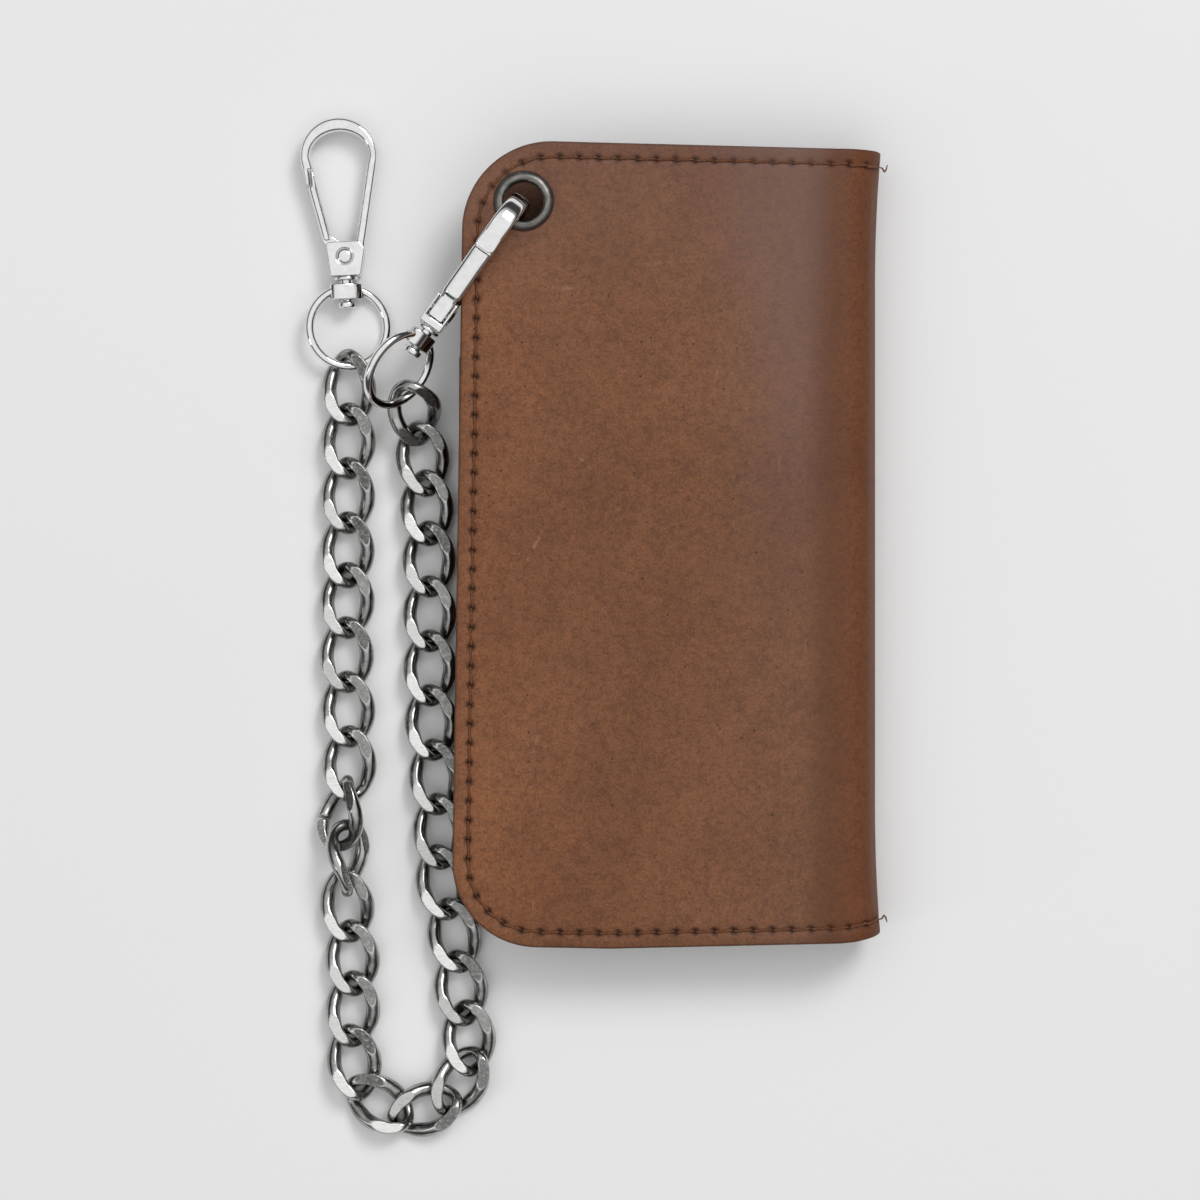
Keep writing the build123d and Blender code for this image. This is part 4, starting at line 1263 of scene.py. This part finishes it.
def stud_parts():
    prof = [(0, -0.06), (2.55, -0.06), (2.78, -0.14), (2.88, -0.32), (2.88, -0.68), (2.78, -0.86), (2.55, -0.94), (1.9, -0.97), (1.5, -1.08), (1.49, -5.9), (1.6, -6.08), (2.0, -6.12), (2.16, -6.24), (2.23, -6.5), (2.23, -7.2), (2.14, -7.45), (1.95, -7.57), (1.2, -7.62), (0, -7.62)]
    V, F = lathe([(r, z) for r, z in prof[::-1]], 48)
    # the revolution axis lies along v
    return [(np.c_[V[:, 0], V[:, 2], -V[:, 1]], F)]


def ring_parts():
    V, F = [], []
    NR, NC = 128, 24
    for i in range(NR):
        a = 2 * math.pi * i / NR
        for k in range(NC):
            b = 2 * math.pi * k / NC
            r = 9.35 + 1.05 * math.cos(b)
            V.append((r * math.cos(a), r * math.sin(a), 1.05 * math.sin(b)))
    # the ring ends at the block: leave out the part that crosses the block's bore
    keep = lambda i: abs(((i + 0.5) / NR * 360 - 90 + 180) % 360 - 180) > 15.5
    for i in range(NR):
        j = (i + 1) % NR
        if not keep(i):
            continue
        for k in range(NC):
            l = (k + 1) % NC
            F.append((i * NC + k, j * NC + k, j * NC + l, i * NC + l))
    ks = [i for i in range(NR) if keep(i)]
    first = [i for i in ks if not keep((i - 1) % NR)][0]
    last = [i for i in ks if not keep((i + 1) % NR)][0]
    F.append(tuple(first * NC + k for k in range(NC)))
    F.append(tuple(((last + 1) % NR) * NC + k for k in range(NC))[::-1])
    V = np.array(V)
    used = sorted({k for f in F for k in f})
    re = {k: n for n, k in enumerate(used)}
    V = V[used]
    F = [tuple(re[k] for k in f) for f in F]
    out = [(V, F)]
    # the block that the stud turns in, bored through
    ov = [(math.copysign(abs(math.cos(t)) ** 0.85, math.cos(t)) * 4.1, 2.3 * math.sin(t)) for t in np.linspace(0, 2 * math.pi, 56, endpoint=False)]
    v, f = plate(ov, [0] * len(ov), -1.95, 1.95, 0.38, holes=(((0, 0), 1.60),), step=0.6)
    out.append((np.c_[v[:, 0], v[:, 2] + 12.1 - 3.6, -v[:, 1]], f))
    return out


def place(parts_, origin, u, v):
    u, v, o = np.array(u, float), np.array(v, float), np.array(origin, float)
    v = v / np.linalg.norm(v)
    u = u - v * (u @ v); u /= np.linalg.norm(u)
    w_ = np.cross(u, v)
    V, F = join([(list(q), f) for q, f in parts_])
    V = np.array(V)
    return o + V @ np.array([u, v, w_]), F


H1, D1 = (-55.6, 51.2, 17.2), np.array((0.588, 0.809, 0.0))
D1 = D1 / np.linalg.norm(D1)
SIDE1 = np.array((0.809, -0.588, 0.0)); SIDE1 = SIDE1 / np.linalg.norm(SIDE1)
TL = math.radians(55.0)
R1U = SIDE1 * math.cos(TL) - np.array((0, 0, 1.0)) * math.sin(TL)
R1C = np.array(H1) - D1 * 12.1
LN = math.radians(2.7)
V2 = np.array((-math.sin(LN), math.cos(LN), 0.0))
U2 = np.array((math.cos(LN), math.sin(LN), 0.0))
R2C = np.array((-75.6, 52.3, 3.3))
H2 = R2C + V2 * 12.1
RO = math.radians(13.0)
R2U = U2 * math.cos(RO) - np.array((0, 0, 1.0)) * math.sin(RO)
FRAME_PARTS = [frame_bar()] + base_parts()
GATE_PARTS = gate_parts()
for n, o, u, v, rc_, ru, in ((1, H1, (0, 0, -1), D1, R1C, R1U), (2, H2, U2, V2, R2C, R2U)):
    for nm, ps, oo, uu, vv, body, rep in (
            ("hook_body_%d", FRAME_PARTS, o, u, v, "hook_%d", "hook_%d_frame"),
            ("hook_latch_%d", GATE_PARTS, o, u, v, "gate_%d", "hook_%d_gate"),
            ("hook_rivet_%d", rivet_parts(), o, u, v, "hook_%d", "hook_%d_gate_rivet"),
            ("hook_stud_%d", stud_parts(), o, u, v, "hook_%d", "hook_%d_swivel_stud"),
            ("key_ring_%d", ring_parts(), rc_, ru, v, "ring_%d", "swivel_ring_%d")):
        W, F = place(ps, oo, uu, vv)
        ob = make(nm % n, W, F, M_CHROME, body % n, (rep % n,))
        me = ob.data
        me.set_sharp_from_angle(angle=math.radians(42))
    cad("hook_%d_gate_spring" % n, M_SPRING)

# ------------------------------------------------------------------ floor, light, camera
def floor_mat():
    m, nt, bs = new_mat("pale_floor")
    v = coords(nt)
    n = noise_tex(nt, v, 3.0, 2)
    c = ramp(nt, n, [(0.3, (0.885, 0.885, 0.885)), (0.7, (0.90, 0.90, 0.90))]).outputs[0]
    link(nt, c, bs.inputs["Base Color"])
    bs.inputs["Roughness"].default_value = 0.85
    bs.inputs["Specular IOR Level"].default_value = 0.1
    return m


def plane(name, cx, cy, z, sx, sy, mat):
    me = bpy.data.meshes.new(name)
    me.from_pydata([(cx - sx / 2, cy - sy / 2, z), (cx + sx / 2, cy - sy / 2, z), (cx + sx / 2, cy + sy / 2, z), (cx - sx / 2, cy + sy / 2, z)], [], [(0, 1, 2, 3)])
    me.materials.append(mat)
    ob = bpy.data.objects.new(name, me)
    scene.collection.objects.link(ob)
    return ob


plane("floor", 0, 0, -0.0002, 6, 6, floor_mat())


def area(name, loc, target, sx, sy, power, col=(1, 1, 1)):
    L = bpy.data.lights.new(name, "AREA")
    L.shape = "RECTANGLE"
    L.size, L.size_y = sx, sy
    L.energy = power
    L.color = col
    ob = bpy.data.objects.new(name, L)
    ob.location = loc
    d = Vector(target) - Vector(loc)
    ob.rotation_euler = d.to_track_quat("-Z", "Y").to_euler()
    scene.collection.objects.link(ob)
    return ob


area("key", (0.85, 1.20, 1.75), (0, 0, 0), 0.80, 0.80, 17.5)
area("kicker", (-1.7, -0.6, 0.9), (0, 0, 0), 0.35, 1.0, 2.0)
# a bright soft ceiling over darker walls
w = bpy.data.worlds.new("studio")
w.use_nodes = True
wt = w.node_tree
bg = wt.nodes["Background"]
tc = wt.nodes.new("ShaderNodeTexCoord")
sx = wt.nodes.new("ShaderNodeSeparateXYZ")
link(wt, tc.outputs["Generated"], sx.inputs[0])
up = ramp(wt, sx.outputs["Z"], [(0.0, (0.30, 0.30, 0.30)), (0.12, (0.05, 0.05, 0.053)), (0.44, (0.06, 0.06, 0.063)), (0.58, (0.52, 0.52, 0.52)), (0.74, (0.88, 0.88, 0.88)), (1.0, (0.94, 0.94, 0.94))])
link(wt, up.outputs[0], bg.inputs[0])
bg.inputs[1].default_value = 1.0
scene.world = w

cam = bpy.data.cameras.new("camera")
cam.lens = 112.4
cam.sensor_width = 36
cam.clip_start = 0.01
cam.dof.use_dof = False
co = bpy.data.objects.new("camera", cam)
co.location = (-0.01537, -0.01297, 0.900)
co.rotation_euler = (0, 0, 0)
scene.collection.objects.link(co)
scene.camera = co
scene.view_settings.view_transform = "Standard"
scene.view_settings.look = "None"
